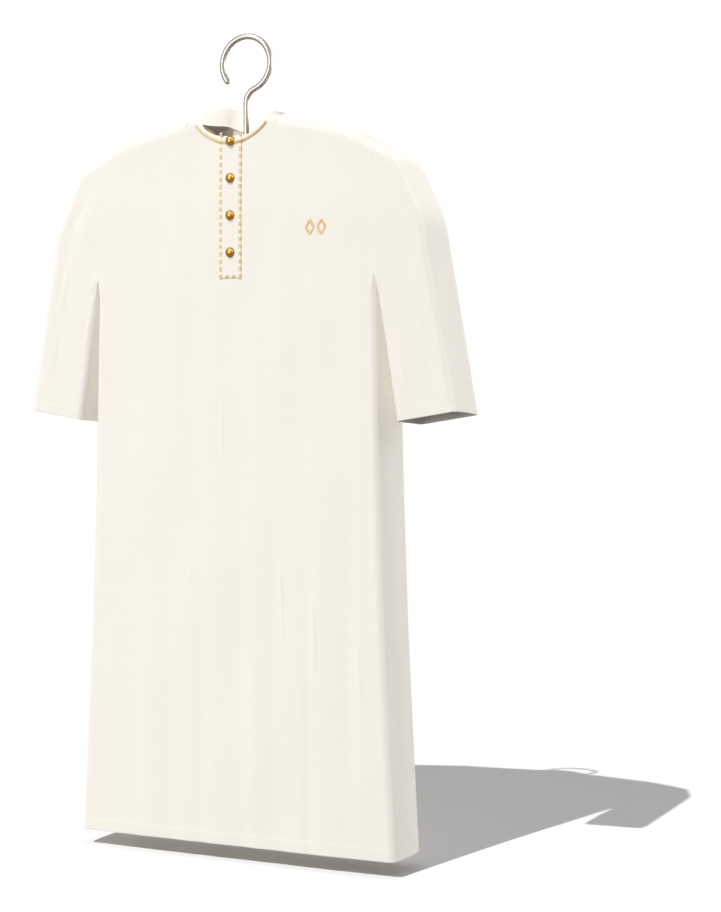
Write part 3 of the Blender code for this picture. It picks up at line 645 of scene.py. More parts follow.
def panel_columns():
    """Places of the columns at the armpit's height, for the skirt and for the chest."""
    edge = ARMPIT[0] - EDGE_RADIUS
    neck = NECK_HALF_WIDTH * np.sin(np.linspace(0, math.pi / 2, NECK_COLUMNS + 1))
    flat = np.linspace(NECK_HALF_WIDTH, edge, SHOULDER_COLUMNS + 1)
    over = np.array((ARC,) + EDGE_PLACES[::-1])
    round_edge = ARMPIT[0] - EDGE_RADIUS * (1 - np.cos(over / EDGE_RADIUS))
    flat_edge = ARMPIT[0] - over * EDGE_RADIUS / ARC
    both = []
    for last in (round_edge, flat_edge):
        half = joined(neck, flat, last)
        both.append(np.concatenate([-half[:0:-1], half]))
    return both


def skirt_heights():
    """Heights of the skirt's rows from the hem up, close together at hem and armpit."""
    length = ARMPIT[1] - HEM[1]
    plain = even_steps(NEAR_HEM[-1], length - FINE_REACH, SKIRT_STEP)
    fine = even_steps(length - FINE_REACH, length, FINE_STEP)
    return HEM[1] + joined(NEAR_HEM, plain, fine)


def chest_shares():
    """Rows from the armpit up to the seam at the top, as shares of the way."""
    fine = even_steps(0, FINE_REACH, FINE_STEP)
    plain = even_steps(FINE_REACH, CHEST_LENGTH - NEAR_SEAM[-1], CHEST_STEP)
    seam = CHEST_LENGTH - np.array(NEAR_SEAM[::-1])
    return joined(fine, plain, seam) / CHEST_LENGTH


# Places where the cloth is held flat: middle x, z, half width, half height, fade
HELD_FLAT = (
    (0.0, -0.340, 0.028, 0.155, 0.030),  # the button strip
    (0.194, -0.393, 0.032, 0.026, 0.030),  # the stitched diamonds
)


def held_flat(x, z):
    """1 where the cloth is free, 0 under the strip and the embroidery."""
    free = np.ones(np.shape(x))
    for middle_x, middle_z, wide, high, fade in HELD_FLAT:
        over = np.maximum(np.abs(x - middle_x) - wide, np.abs(z - middle_z) - high)
        free = free * ramp(over, 0, fade)
    return free


def make_panel(panel):
    """The front or back as a sheet, from the hem up to the neck and shoulder seams."""
    side = SIDE_OF[panel]
    round_places, flat_places = panel_columns()
    z = skirt_heights()[:-1, None]
    evening = EVENING * ramp(ARMPIT[1] - z, 0, EVENING_DROP)
    evenly = np.linspace(-ARMPIT[0], ARMPIT[0], len(round_places))
    kept = ramp(np.abs(round_places), EVENING_TO, ARMPIT[0])
    x = lerp(round_places, lerp(round_places, evenly, 1 - kept), evening)
    x = x * half_width(z) / ARMPIT[0]
    z = z + 0 * x
    skirt = vectors(x, side * (depth_at(x, z) - trough(x, z, panel)), z)
    share = chest_shares()[:, None]
    x = lerp(round_places, flat_places, ramp(share * CHEST_LENGTH, 0, SEAM_COLUMNS_FROM))
    x = x * (ARMPIT[0] - JOIN / 2) / ARMPIT[0]
    first = np.maximum(neck_over(panel, x), JOIN / 2)
    chest = body_point(panel, x, lerp(over_at(x, ARMPIT[1]), first, share))
    points = np.concatenate([skirt, chest])
    sheet = Sheet(points, vectors(0.0, 0.0, points[..., 2].mean(axis=1, keepdims=True)))
    on_armhole = np.arange(len(points)) >= len(skirt)
    for column in (0, -1):
        sheet.normals[on_armhole, column] = in_seam_plane(sheet.normals[on_armhole, column])
    x, z = points[..., 0], points[..., 2]
    free = sheet.calm(SEWN) * (held_flat(x, z) if panel == "front" else 1)
    relief = (crease(x, z, panel) + fold(x, z, panel) + slow_waves(x, z * side)) * free
    sheet.raise_by(relief + sheet.hem("bottom", HEM_TURN) - sheet.roll(SEWN))
    return sheet


def make_gore(side):
    """The narrow strip under an arm, from the hem up to the armpit."""
    z = skirt_heights()[:, None]
    z = np.where(z > ARMPIT[1] - JOIN, ARMPIT[1] - JOIN, z)
    half = FLAT - JOIN
    places = joined(np.array(NEAR_SEAM) - half, even_steps(NEAR_SEAM[-1] - half, 0, GORE_STEP))
    y = np.concatenate([places, -places[-2::-1]])[None, :]
    crown = ramp(ARMPIT[1] - z, 0, GORE_CROWN_DROP)
    points = vectors(side * (half_width(z) + ridge(y) * crown), y, z)
    sheet = Sheet(points, vectors(0.0, 0.0, points[..., 2]))
    waves = slow_waves(sheet.measure[..., 0] + GORE_SHIFT * side, sheet.measure[..., 1])
    relief = waves * GORE_WAVES * sheet.calm(SEWN, GORE_CALM)
    sheet.raise_by(relief + sheet.hem("bottom", HEM_TURN) - sheet.roll(SEWN))
    return sheet


# ------------------------------------------------------------------ a sleeve
ARMHOLE_X = ARMPIT[0] + JOIN / 2
FACE_TURNS = 7  # lines over each rounded edge of a sleeve
FACE_LINES = 42  # between the rounded edges
FACE_CROWDING = 1.5  # above 1, the lines are closer together near the underarm seam
SLEEVE_LENGTH = 0.44  # nominal, along the middle of the sleeve
SLEEVE_FINE = 0.075  # from the armhole, until the rings are further apart
SLEEVE_FINE_STEP = 0.0035
SLEEVE_STEP = 0.0085
NEAR_CUFF = (0.026, 0.0215, 0.020, 0.0185, 0.010, 0.003, 0.0015, 0.0006, 0)
UNDERARM_STEP = 0.007
OUTER_STEP = 0.0075  # over the sleeve's flat outer side


def sleeve_shares():
    """Rings of a sleeve from the armhole down to the cuff, as shares of the way."""
    fine = even_steps(NEAR_SEAM[-1], SLEEVE_FINE, SLEEVE_FINE_STEP)
    cuff = SLEEVE_LENGTH - np.array(NEAR_CUFF)
    plain = even_steps(SLEEVE_FINE, cuff[0], SLEEVE_STEP)
    return joined(NEAR_SEAM, fine, plain, cuff) / SLEEVE_LENGTH


def make_sleeve(side):
    """A sleeve as rings from the underarm seam round the front and back to it."""
    share = sleeve_shares()
    start = np.array([[ARMHOLE_X, shoulder_z(ARMHOLE_X)]])
    outer_path = np.concatenate([start, TOP[TOP[:, 0] > ARMHOLE_X]])
    inner_path = np.array([[ARMHOLE_X, ARMPIT[1]], CUFF_INNER])
    ends = []
    for path in (inner_path, outer_path):
        gone = lengths_along(path)
        ends.append(at_length(path, gone, share * gone[-1]))
    inner, outer = ends
    wide = np.linalg.norm(outer - inner, axis=-1, keepdims=True)
    turn = np.linspace(0, math.pi / 2, FACE_TURNS + 1)[1:]
    rounded = EDGE_RADIUS * (1 - np.cos(turn)) / wide
    spread = np.linspace(0, 1, FACE_LINES)[1:-1] ** FACE_CROWDING
    middle = lerp(rounded[:, -1:], 1 - rounded[:, -1:], spread)
    faces = np.concatenate([rounded, middle, 1 - rounded[:, ::-1]], axis=1)[..., None]
    spots = lerp(inner[:, None], outer[:, None], faces)
    depth = depth_at(spots[..., 0], spots[..., 1])
    near = np.array(NEAR_SEAM) + JOIN / 2
    under = joined(near, even_steps(near[-1], FLAT, UNDERARM_STEP))
    over = even_steps(-FLAT, FLAT, OUTER_STEP)
    out = (outer - inner) / wide

    def ring_part(place, y, along_out=0.0):
        flat = place[:, None] + out[:, None] * (along_out + 0 * y)[..., None]
        return np.concatenate([flat, np.broadcast_to(y, flat.shape[:2])[..., None]], axis=-1)

    def face_part(way):
        return np.concatenate([spots, (way * depth)[..., None]], axis=-1)

    ring = np.concatenate([
        ring_part(inner, -under[None]),
        face_part(-1),
        ring_part(outer, over[None], ridge(over[None])),
        face_part(1)[:, ::-1],
        ring_part(inner, under[None, ::-1]),
    ], axis=1)
    x, z, y = ring[..., 0], ring[..., 1], ring[..., 2]
    tilt = CUFF_TILT * ramp(share, TILT_FROM, 1)[:, None]
    points = vectors(side * x, y * (1 - SLEEVE_TAPER * share[:, None]), z - y * tilt)
    sheet = Sheet(points, points.mean(axis=1, keepdims=True))
    flat_x = np.abs(points[0, :, 1]) > SEAM
    sheet.normals[0, flat_x] = in_seam_plane(sheet.normals[0, flat_x])
    name = "sleeve_left_" if side > 0 else "sleeve_right_"
    sewn = ("bottom", "left", "right")
    folds = np.where(y < 0, crease(x, z, name + "front"), crease(x, z, name + "back"))
    waves = slow_waves(sheet.measure[..., 0] + SLEEVE_SHIFT * side, sheet.measure[..., 1])
    relief = (folds + waves) * sheet.calm(sewn, SLEEVE_CALM)
    sheet.raise_by(relief + sheet.hem("top", CUFF_TURN) - sheet.roll(sewn))
    return sheet


# ------------------------------------------------------------------ collar, strip, braid
def neck_seam_frame(turn):
    """At the neck seam: its place and the outward normal.

    Turn 0 is the front's middle, and a quarter turn is the wearer's left side.
    """
    x = NECK_HALF_WIDTH * np.sin(turn)
    ahead = np.cos(turn)
    on_front = (ahead > 0)[..., None]
    front = body_frame("front", x, FRONT_NECK_DROP * np.abs(ahead))
    back = body_frame("back", x, BACK_NECK_DROP * np.abs(ahead))
    return [np.where(on_front, a, b) for a, b in zip(front, back)]


def collar_top(turn):
    """Points of the collar's top edge, low at the front and high at the back."""
    ahead = np.cos(turn)
    y_end = np.where(ahead > 0, COLLAR_FRONT_Y, COLLAR_BACK_Y)
    even = 1 - (1 - np.abs(ahead)) ** 2
    back_rise = COLLAR_BACK_RISE * np.where(np.sin(turn) < 0, even, np.abs(ahead) ** 2)
    rise = np.where(ahead > 0, -COLLAR_FRONT_FALL * np.abs(ahead), back_rise)
    y = lerp(COLLAR_SIDE_Y, y_end, np.abs(ahead))
    slip = COLLAR_SLIP * np.sin(turn) * (1 - np.maximum(ahead, 0))
    return vectors(COLLAR_TOP_HALF_WIDTH * np.sin(turn), y, COLLAR_SIDE_Z + rise - slip)


def collar_point(turn, up):
    """Points of the collar's outer side, up 0 at the neck seam and 1 at its top edge."""
    place, outward = neck_seam_frame(turn)
    ahead, _ = neck_seam_frame(turn + SMALL_TURN)
    behind, _ = neck_seam_frame(turn - SMALL_TURN)
    into = unit(np.cross(outward, ahead - behind))
    wanted = np.array((0, 0, COLLAR_SIDE_Z)) - place
    into = into * np.where(np.sum(into * wanted, axis=-1) < 0, -1, 1)[..., None]
    foot = place + into * COLLAR_GAP - outward * COLLAR_TUCK
    return lerp(foot, collar_top(turn), np.asarray(up)[..., None])


def collar_out(turn):
    """Direction in which the collar's outer side faces."""
    rise = collar_point(turn, 1.0) - collar_point(turn, 0.0)
    round_neck = collar_point(turn + SMALL_TURN, 0.5) - collar_point(turn - SMALL_TURN, 0.5)
    out = unit(np.cross(rise, round_neck))
    facing = out[..., 0] * np.sin(turn) - out[..., 1] * np.cos(turn)
    return out * np.where(facing < 0, -1, 1)[..., None]


COLLAR_STEPS = 168
COLLAR_ROWS = (
    0.0, 0.02, 0.05, 0.1, 0.19, 0.3, 0.42, 0.54, 0.66, 0.76, 0.85, 0.92, 0.96, 0.985, 1.0,
)
COLLAR_BULGE = 0.0007
COLLAR_WAVE = 0.0003
COLLAR_WAVES = 11  # round the neck
COLLAR_WAVE_LEAN = 2  # radians from the collar's foot to its top
COLLAR_FLAT = (0.955, 0.975)  # cosines of the turn between which it goes flat under the strip
TRIM_ROLL = 0.0004  # how far the edges of the collar and the strip roll in
STRIP_ROLL_WIDTH = 0.0012
NEAR_STRIP_EDGE = (0, 0.0005, 0.0012, 0.003)
STRIP_STEPS = (0.0035, 0.0055)  # across and down the strip
STRIP_ROWS_ON_COLLAR = 9


def make_collar():
    """The band round the neck, open at the middle of the front under the strip."""
    gap = SEAM / NECK_HALF_WIDTH
    turn = np.linspace(gap, 2 * math.pi - gap, COLLAR_STEPS + 1)[None, :]
    up = np.array(COLLAR_ROWS)[:, None]
    points = collar_point(*np.broadcast_arrays(turn, up))
    sheet = Sheet(points, vectors(0.0, 0.0, points[..., 2].mean()))
    wave = COLLAR_WAVE * np.sin(turn * COLLAR_WAVES + up * COLLAR_WAVE_LEAN)
    free = np.sin(math.pi * up) * (1 - ramp(np.cos(turn), *COLLAR_FLAT))
    sheet.raise_by((COLLAR_BULGE + wave) * free - sheet.roll(("bottom",), TRIM_ROLL))
    return sheet


def make_strip():
    """The button strip, lying on the front and then on the collar's front."""
    lift = SEAM + STRIP_WALL
    across, down = STRIP_STEPS
    near = NEAR_STRIP_EDGE
    places = joined(near, even_steps(near[-1], STRIP_HALF_WIDTH, across))
    x = np.concatenate([places - STRIP_HALF_WIDTH, (STRIP_HALF_WIDTH - places)[-2::-1]])
    top = neck_over("front", x) - STRIP_OVER_SEAM
    bottom = over_at(x, STRIP_BOTTOM_Z)
    length = float(np.mean(bottom - top))
    share = joined(near, even_steps(near[-1], length, down))[:, None] / length
    on_front = body_point("front", x, lerp(bottom, top, share)) - np.array((0.0, lift, 0.0))
    turn = np.arcsin(x / NECK_HALF_WIDTH)
    up = np.linspace(*STRIP_ON_COLLAR, STRIP_ROWS_ON_COLLAR)[:, None]
    on_collar = collar_point(turn, up) + collar_out(turn) * lift
    points = np.concatenate([on_front, on_collar])
    sheet = Sheet(points, vectors(0.0, 0.0, points[..., 2]))
    sheet.raise_by(-sheet.roll(EDGES, TRIM_ROLL, STRIP_ROLL_WIDTH))
    return sheet


# ------------------------------------------------------------------ threads and stitches
# A thread's rings: the place along it, from its middle, and the share of its thickness
THREAD_SHAPE = ((-0.5, 0.30), (-0.40, 0.85), (0.0, 1.0), (0.40, 0.85), (0.5, 0.30))


def bars(starts, ends, normals, thickness, lift=0.0, sides=5, arch=0.0):
    """Many short round-ended threads as one mesh: points, faces and their own measure."""
    along = ends - starts
    length = np.linalg.norm(along, axis=-1, keepdims=True)
    side = unit(np.cross(along, normals))
    up = unit(np.cross(side, along))
    turn = (np.arange(sides) * 2 * math.pi / sides)[:, None]
    spread = side[:, None] * np.cos(turn) + up[:, None] * np.sin(turn)
    rings = []
    for place, size in THREAD_SHAPE:
        middle = (starts + ends) / 2 + along * place + up * (lift + arch * (1 - 4 * place**2))
        rings.append(middle[:, None] + spread * thickness / 2 * size)
    points = np.stack(rings, axis=1)
    corner = corner_grid(len(THREAD_SHAPE), sides)
    first = np.arange(len(points))[:, None, None] * corner.size
    faces = (ring_quads(corner) + first).reshape(-1, 4).tolist()
    caps = np.array([corner[0], corner[-1, ::-1]])
    faces += (caps + first).reshape(-1, sides).tolist()
    places = np.array([place for place, _ in THREAD_SHAPE])
    measure = vectors(np.arange(len(points))[:, None], length * places, 0.0)
    return points.reshape(-1, 3), faces, np.repeat(measure, sides, axis=1).reshape(-1, 3)


STITCH = 0.0024  # length
STITCH_PITCH = 0.0033
STITCH_ARCH = 0.00021  # how far its middle stands up
THREAD = 0.0006  # thickness


def stitches(line, normals, keep):
    """A row of stitches over a line of the cloth, where `keep` says so of their starts."""
    gone = lengths_along(line)
    places = np.arange(STITCH_PITCH, gone[-1] - STITCH_PITCH, STITCH_PITCH)
    starts = at_length(line, gone, places)
    ends = at_length(line, gone, places + STITCH)
    ups = unit(at_length(normals, gone, places + STITCH / 2))
    kept = keep(starts)
    return bars(starts[kept], ends[kept], ups[kept], THREAD, arch=STITCH_ARCH)


ROUND_END = np.radians((75, 50, 25))  # turns of the rings that round off a tube's end


def tube(path, ups, radius, sides):
    """A round tube with rounded ends along a path, with a direction for its upper side."""
    ways = unit(slopes(path[:, None], 0)[:, 0])
    side = unit(np.cross(ways, ups))
    up = unit(np.cross(side, ways))
    beyond = radius * np.sin(ROUND_END)[:, None]
    middles = [path[0] - ways[0] * beyond, path, path[-1] + ways[-1] * beyond[::-1]]
    middles = np.concatenate(middles)[:, None]
    shrunk = np.cos(ROUND_END)
    sizes = np.concatenate([shrunk, np.ones(len(path)), shrunk[::-1]])[:, None, None]
    more = ((len(ROUND_END), len(ROUND_END)), (0, 0))
    side, up = (np.pad(part, more, mode="edge")[:, None] for part in (side, up))
    turn = (np.arange(sides) * 2 * math.pi / sides)[:, None]
    rings = middles + (np.cos(turn) * side + np.sin(turn) * up) * radius * sizes
    corner = corner_grid(len(rings), sides)
    faces = ring_quads(corner).tolist() + [corner[0].tolist(), corner[-1, ::-1].tolist()]
    gone = lengths_along(rings.mean(axis=1))
    measure = vectors(turn[:, 0] * radius, gone[:, None], 0.0)
    return rings.reshape(-1, 3), faces, measure.reshape(-1, 3)


# ------------------------------------------------------------------ materials
class Value:
    """A socket of numbers in a node tree; the operators on it add Math nodes."""

    def __init__(self, tree, socket):
        self.tree = tree
        self.socket = socket

    def maths(self, operation, *others, swap=False):
        node = self.tree.nodes.new("ShaderNodeMath")
        node.operation = operation
        values = (self, *others)
        for place, value in zip(node.inputs, values[::-1] if swap else values):
            if isinstance(value, Value):
                self.tree.links.new(value.socket, place)
            else:
                place.default_value = value
        return Value(self.tree, node.outputs[0])

    def __add__(self, other):
        return self.maths("ADD", other)

    def __radd__(self, other):
        return self.maths("ADD", other)

    def __sub__(self, other):
        return self.maths("SUBTRACT", other)

    def __rsub__(self, other):
        return self.maths("SUBTRACT", other, swap=True)

    def __mul__(self, other):
        return self.maths("MULTIPLY", other)

    def __rmul__(self, other):
        return self.maths("MULTIPLY", other)

    def __abs__(self):
        return self.maths("ABSOLUTE")

    def sine(self):
        return self.maths("SINE")


class Look:
    """A material: its nodes, its shader, and what is written to the shader's sockets."""

    def __init__(self, name, **fixed):
        self.material = bpy.data.materials.new(name)
        self.material.use_nodes = True
        self.tree = self.material.node_tree
        self.shader = self.tree.nodes["Principled BSDF"]
        for socket, value in fixed.items():
            self.shader.inputs[socket.replace("_", " ")].default_value = value

    def node(self, kind, settings=None, inputs=None, output=0):
        """A node of a type, with its settings and the values or links of its sockets."""
        node = self.tree.nodes.new(kind)
        for setting, value in (settings or {}).items():
            if setting == "stops":
                stops = node.color_ramp.elements
                for stop, (place, color) in zip((stops[0], stops[-1]), (value[0], value[-1])):
                    stop.position, stop.color = place, (*color, 1)
                for place, color in value[1:-1]:
                    stops.new(place).color = (*color, 1)
            else:
                setattr(node, setting, value)
        for socket, value in (inputs or {}).items():
            if isinstance(value, Value):
                self.tree.links.new(value.socket, node.inputs[socket])
            else:
                node.inputs[socket].default_value = value
        return Value(self.tree, node.outputs[output])

    def parts(self, vector):
        return [
            self.node("ShaderNodeSeparateXYZ", inputs={"Vector": vector}, output=k)
            for k in range(3)
        ]

    def joined(self, x, y, z=0.0):
        return self.node("ShaderNodeCombineXYZ", inputs={"X": x, "Y": y, "Z": z})

    def measure(self):
        """The cloth's own measure in metres: across it, along it."""
        settings = {"attribute_name": "measure"}
        vector = self.node("ShaderNodeAttribute", settings, output="Vector")
        return self.parts(vector)[:2]

    def noise(self, vector, scale, detail=2.0, roughness=0.5):
        inputs = {"Vector": vector, "Scale": scale, "Detail": detail, "Roughness": roughness}
        return self.node("ShaderNodeTexNoise", inputs=inputs)

    def grain(self, x, y, z, detail, roughness=0.5):
        """Noise of about one spot for each whole step of x, y and z."""
        return self.noise(self.joined(x, y, z), 1.0, detail, roughness)

    def between(self, share, first, last):
        """A colour between two, by a share."""
        inputs = {0: share, 6: (*first, 1), 7: (*last, 1)}
        return self.node("ShaderNodeMix", {"data_type": "RGBA"}, inputs, output=2)

    def relief(self, height):
        """The normal of a surface raised by a height in metres."""
        inputs = {"Strength": 1.0, "Distance": 1.0, "Height": height}
        return self.node("ShaderNodeBump", inputs=inputs)

    def write(self, **values):
        """Links each value to the shader's socket of that name."""
        for socket, value in values.items():
            self.tree.links.new(value.socket, self.shader.inputs[socket.replace("_", " ")])
        return self.material


COLOURS = {
    # what: darkest, lightest
    "cotton": ((0.705, 0.672, 0.608), (0.735, 0.702, 0.638)),
    "sewing": ((0.72, 0.68, 0.60), (0.84, 0.80, 0.72)),
    "gold": ((0.68, 0.475, 0.215), (0.90, 0.70, 0.385)),
    # the button's darkest colour is painted shade for its rolled rim
    "button": ((0.16, 0.08, 0.015), (0.56, 0.33, 0.070)),
    "steel": ((0.42, 0.385, 0.335), (0.64, 0.60, 0.535)),
    "wood": ((0.20, 0.080, 0.032), (0.56, 0.29, 0.13)),
    "floor": ((0.93, 0.93, 0.93), (0.95, 0.95, 0.95)),
}
WEAVE = math.pi / 0.00050  # radians of the weave's waves for each metre
YARN = 0.00007  # height of one yarn over the next
SLUB = 0.00006  # height of the thick places in the yarns
HANDLING = 0.00060  # height of the soft unevenness of cloth that was worn and ironed


def cotton(name, shift):
    """Plain-woven cream cotton with uneven yarns and a soft, matt face."""
    look = Look(name, Sheen_Weight=0.12, Sheen_Roughness=0.5, Specular_IOR_Level=0.25)
    across, along = look.measure()
    across = across + shift
    warp = (across * WEAVE).sine()
    weft = (along * WEAVE).sine()
    over = warp * weft * 0.5 + 0.5
    weave = abs(warp) * over + abs(weft) * (1 - over)
    slub_warp = look.grain(across * 1500, along * 45, 0.0, detail=1.0)
    slub_weft = look.grain(across * 45, along * 1500, 3.7, detail=1.0)
    slubs = slub_warp * 0.5 + slub_weft * 0.5
    handled = look.noise(look.joined(across, along), 22.0, 3.0, 0.55)
    clouds = look.noise(look.joined(across, along, 1.9), 4.0, 2.0)
    tone = slubs * 0.55 + handled * 0.2 + clouds * 0.25
    color = look.between(tone, *COLOURS["cotton"])
    height = weave * YARN + slubs * SLUB + handled * HANDLING
    rough = 0.80 + slubs * 0.16
    return look.write(Base_Color=color, Roughness=rough, Normal=look.relief(height))


def gold_thread(name):
    """Twisted gold embroidery thread with a satin shine."""
    look = Look(name, Specular_IOR_Level=0.5, Sheen_Weight=0.1, Metallic=0.15)
    across, along = look.measure()
    twist = (along * 5200 + across * 2600).sine() * 0.5 + 0.5
    spots = look.grain(across * 900, along * 300, 0.0, detail=2.0)
    color = look.between(twist * 0.6 + spots * 0.4, *COLOURS["gold"])
    rough = 0.42 + spots * 0.2
    return look.write(Base_Color=color, Roughness=rough, Normal=look.relief(twist * 0.00006))


def sewing_thread(name):
    """Cream sewing thread, a little brighter than the cloth."""
    look = Look(name, Sheen_Weight=0.1, Specular_IOR_Level=0.3)
    across, along = look.measure()
    twist = (along * 6000 + across * 3).sine() * 0.5 + 0.5
    color = look.between(twist, *COLOURS["sewing"])
    rough = 0.6 + twist * 0.2
    return look.write(Base_Color=color, Roughness=rough, Normal=look.relief(twist * 0.00004))


# A button is coloured with painted shade over its rolled rim and the dip inside it; between these
# two places on the profile the painted shade fades to the dome's colour.
RIM_SHADE_FROM, RIM_SHADE_TO = 0.0022, 0.0042  # metres over a button's profile from its back


def button_metal(name):
    """Old-gold metal, with painted shade over the rolled rim and the dip inside it, softly worn
    on the dome.
    """
    look = Look(name, Metallic=1.0)
    across, along = look.measure()
    worn = look.grain(across * 400, along * 400, 0.0, detail=4.0, roughness=0.6)
    fine = look.grain(across * 2600, along * 900, 2.0, detail=2.0)
    rim_shade_fade = look.node(
        "ShaderNodeMapRange",
        {"interpolation_type": "SMOOTHSTEP"},
        {"Value": along, "From Min": RIM_SHADE_FROM, "From Max": RIM_SHADE_TO},
    )
    # Painted shade: dark over the rim and the dip inside it, light on the dome; the worn spots
    # are the metal's own.
    tone = worn * 0.35 + rim_shade_fade * 0.65
    color = look.between(tone, *COLOURS["button"])
    rough = 0.46 - rim_shade_fade * 0.08 + fine * 0.10
    normal = look.relief(worn * 0.00005 + fine * 0.00001)
    return look.write(Base_Color=color, Roughness=rough, Normal=normal)


def brushed_steel(name):
    """Bent steel wire, polished along its length, with a warm tint."""
    look = Look(name, Metallic=1.0)
    across, along = look.measure()
    brushed = look.grain(across * 3000, along * 60, 0.0, detail=3.0)
    tarnish = look.grain(across * 60, along * 60, 5.0, detail=3.0)
    color = look.between(brushed * 0.4 + tarnish * 0.6, *COLOURS["steel"])
    rough = 0.34 + brushed * 0.16
    return look.write(Base_Color=color, Roughness=rough, Normal=look.relief(brushed * 0.00003))


def polished_wood(name):
    """Reddish-brown wood with its grain along the arms, under thin varnish."""
    look = Look(name, Coat_Weight=0.3, Coat_Roughness=0.25)
    x, y, z = look.parts(look.node("ShaderNodeTexCoord", output="Object"))
    bend = look.grain(x * 3, y * 8, z * 8, detail=2.0)
    rings = ((z + y * 0.6 + bend * 0.03) * 900).sine() * 0.5 + 0.5
    pores = look.grain(x * 60, y * 1400, z * 1400, detail=3.0)
    tone = rings * 0.45 + pores * 0.55
    color = look.between(tone, *COLOURS["wood"])
    rough = 0.42 + pores * 0.2
    return look.write(Base_Color=color, Roughness=rough, Normal=look.relief(pores * 0.00006))


# ------------------------------------------------------------------ the robe
CLOTHS = {
    # node: slot, thickness, open edge, shift of the weave, and the cut before sewing: width,
    # length, area
    "front": ("front_cotton", CLOTH, "bottom", 0.0, 0.785, 1.560, 1.060),
    "back": ("back_cotton", CLOTH, "bottom", 3.1, 0.785, 1.560, 1.065),
    "gore_left": ("gore_cotton", CLOTH, "bottom", 5.3, 0.118, 1.180, 0.1260),
    "gore_right": ("gore_cotton", CLOTH, "bottom", 7.7, 0.118, 1.180, 0.1260),
    "sleeve_left": ("sleeve_cotton", CLOTH, "top", 9.2, 0.765, 0.600, 0.222),
    "sleeve_right": ("sleeve_cotton", CLOTH, "top", 11.9, 0.765, 0.600, 0.222),
    "collar": ("collar_cotton", COLLAR_CLOTH, "top", 13.4, 0.630, 0.066, 0.0152),
    "button_strip": ("strip_cotton", STRIP_WALL, None, 15.8, 0.054, 0.300, 0.0155),
}


def make_cloth():
    """The eight sheets of cloth, and the shells made from them."""
    sheets = {
        "front": make_panel("front"),
        "back": make_panel("back"),
        "gore_left": make_gore(1),
        "gore_right": make_gore(-1),
        "sleeve_left": make_sleeve(1),
        "sleeve_right": make_sleeve(-1),
        "collar": make_collar(),
        "button_strip": make_strip(),
    }
    made = {}
    for node, (slot, thickness, open_edge, shift, *_) in CLOTHS.items():
        look = cotton(node + "_weave", shift)
        made[node] = add_shell(node, sheets[node], look, thickness, open_edge)
    return sheets, made


def add_threads(name, parts, look, stands_for=None):
    """Several sets of points, faces and measures as one piece."""
    faces, first = [], 0
    for part_points, part_faces, _ in parts:
        faces += [[corner + first for corner in face] for face in part_faces]
        first += len(part_points)
    points, measure = (np.concatenate([part[k] for part in parts]) for k in (0, 2))
    return add_piece(name, points, faces, look, measure, stands_for)


PANEL_ROWS = (("bottom", 0.0215), ("left", 0.0050), ("right", 0.0050), ("top", 0.0042))
STITCH_ROWS = {
    # node: the edge that a row of stitches follows, and how far from it the row runs
    "front": PANEL_ROWS,
    "back": PANEL_ROWS,
    "gore_left": (("bottom", 0.0215),),
    "gore_right": (("bottom", 0.0215),),
    "sleeve_left": (("top", 0.0178),),
    "sleeve_right": (("top", 0.0178),),
    "collar": (("bottom", 0.0035), ("top", 0.0040)),
}
BESIDE_STRIP = STRIP_HALF_WIDTH + 0.001


def row_keeper(node, edge):
    """Says which stitches of a row are sewn: none in the neck or under the strip."""
    if node == "collar":
        return lambda spots: (np.abs(spots[:, 0]) > BESIDE_STRIP) | (spots[:, 1] > 0)
    if node in SIDE_OF and edge == "top":
        return lambda spots: np.abs(spots[:, 0]) > NECK_POINT[0]
    return lambda spots: np.full(len(spots), True)


def sew(sheets):
    """Stitch rows beside the hems, cuffs, side seams, armholes, shoulders and collar edges."""
    thread = sewing_thread("cream_sewing_thread")
    made = {}
    for node, rows in STITCH_ROWS.items():
        parts = [
            stitches(*sheets[node].beside(edge, away), row_keeper(node, edge))
            for edge, away in rows
        ]
        made[node] = add_threads(node + "_stitches", parts, thread)
    return made


GOLD_THREAD = 0.00085  # thickness
GOLD_PITCH = GOLD_THREAD * 0.86  # of threads side by side
GOLD_LIFT = GOLD_THREAD * 0.25  # how far a thread's ends stand up
GOLD_ARCH = 0.00035  # how far its middle stands up over them
GOLD_SIDES = 6
GOLD_BAR = 0.0084  # length of one gold bar
GOLD_BAR_WIDTH = 0.0062
GOLD_BAR_PITCH = 0.0150
GOLD_BARS = 20  # down each edge of the strip
GOLD_BARS_X = 0.0222
GOLD_BARS_FROM_Z = -0.4845  # middle of the lowest bar
LOW_BARS_X = 0.0075  # the two bars across the strip's foot
LOW_BARS_Z = STRIP_BOTTOM_Z + 0.0034
DIAMOND_XS = (0.1790, 0.2040)  # two stitched diamonds on the left of the chest
DIAMOND_Z = -0.3917
DIAMOND_HALF_WIDTH = 0.0086
DIAMOND_HALF_HEIGHT = 0.0145
DIAMOND_BAR_WIDTH = 0.0056
DIAMOND_OVERLAP = 0.0003


def satin(start, end, width, lift):
    """Satin stitch on the front: threads side by side from start to end, as (x, z)."""
    start, end = np.array(start), np.array(end)
    length = np.linalg.norm(end - start)
    count = max(round(length / GOLD_PITCH), 2)
    middle = lerp(start, end, ((np.arange(count) + 0.5) / count)[:, None])
    way = (end - start) / length
    across = np.array((way[1], -way[0])) * width / 2
    ends = []
    for side in (-1, 1):
        x, z = (middle + across * side).T
        place, outward = body_frame("front", x, over_at(x, z))
        ends.append(place + outward * lift)
    return bars(*ends, outward, GOLD_THREAD, GOLD_LIFT, GOLD_SIDES, GOLD_ARCH)


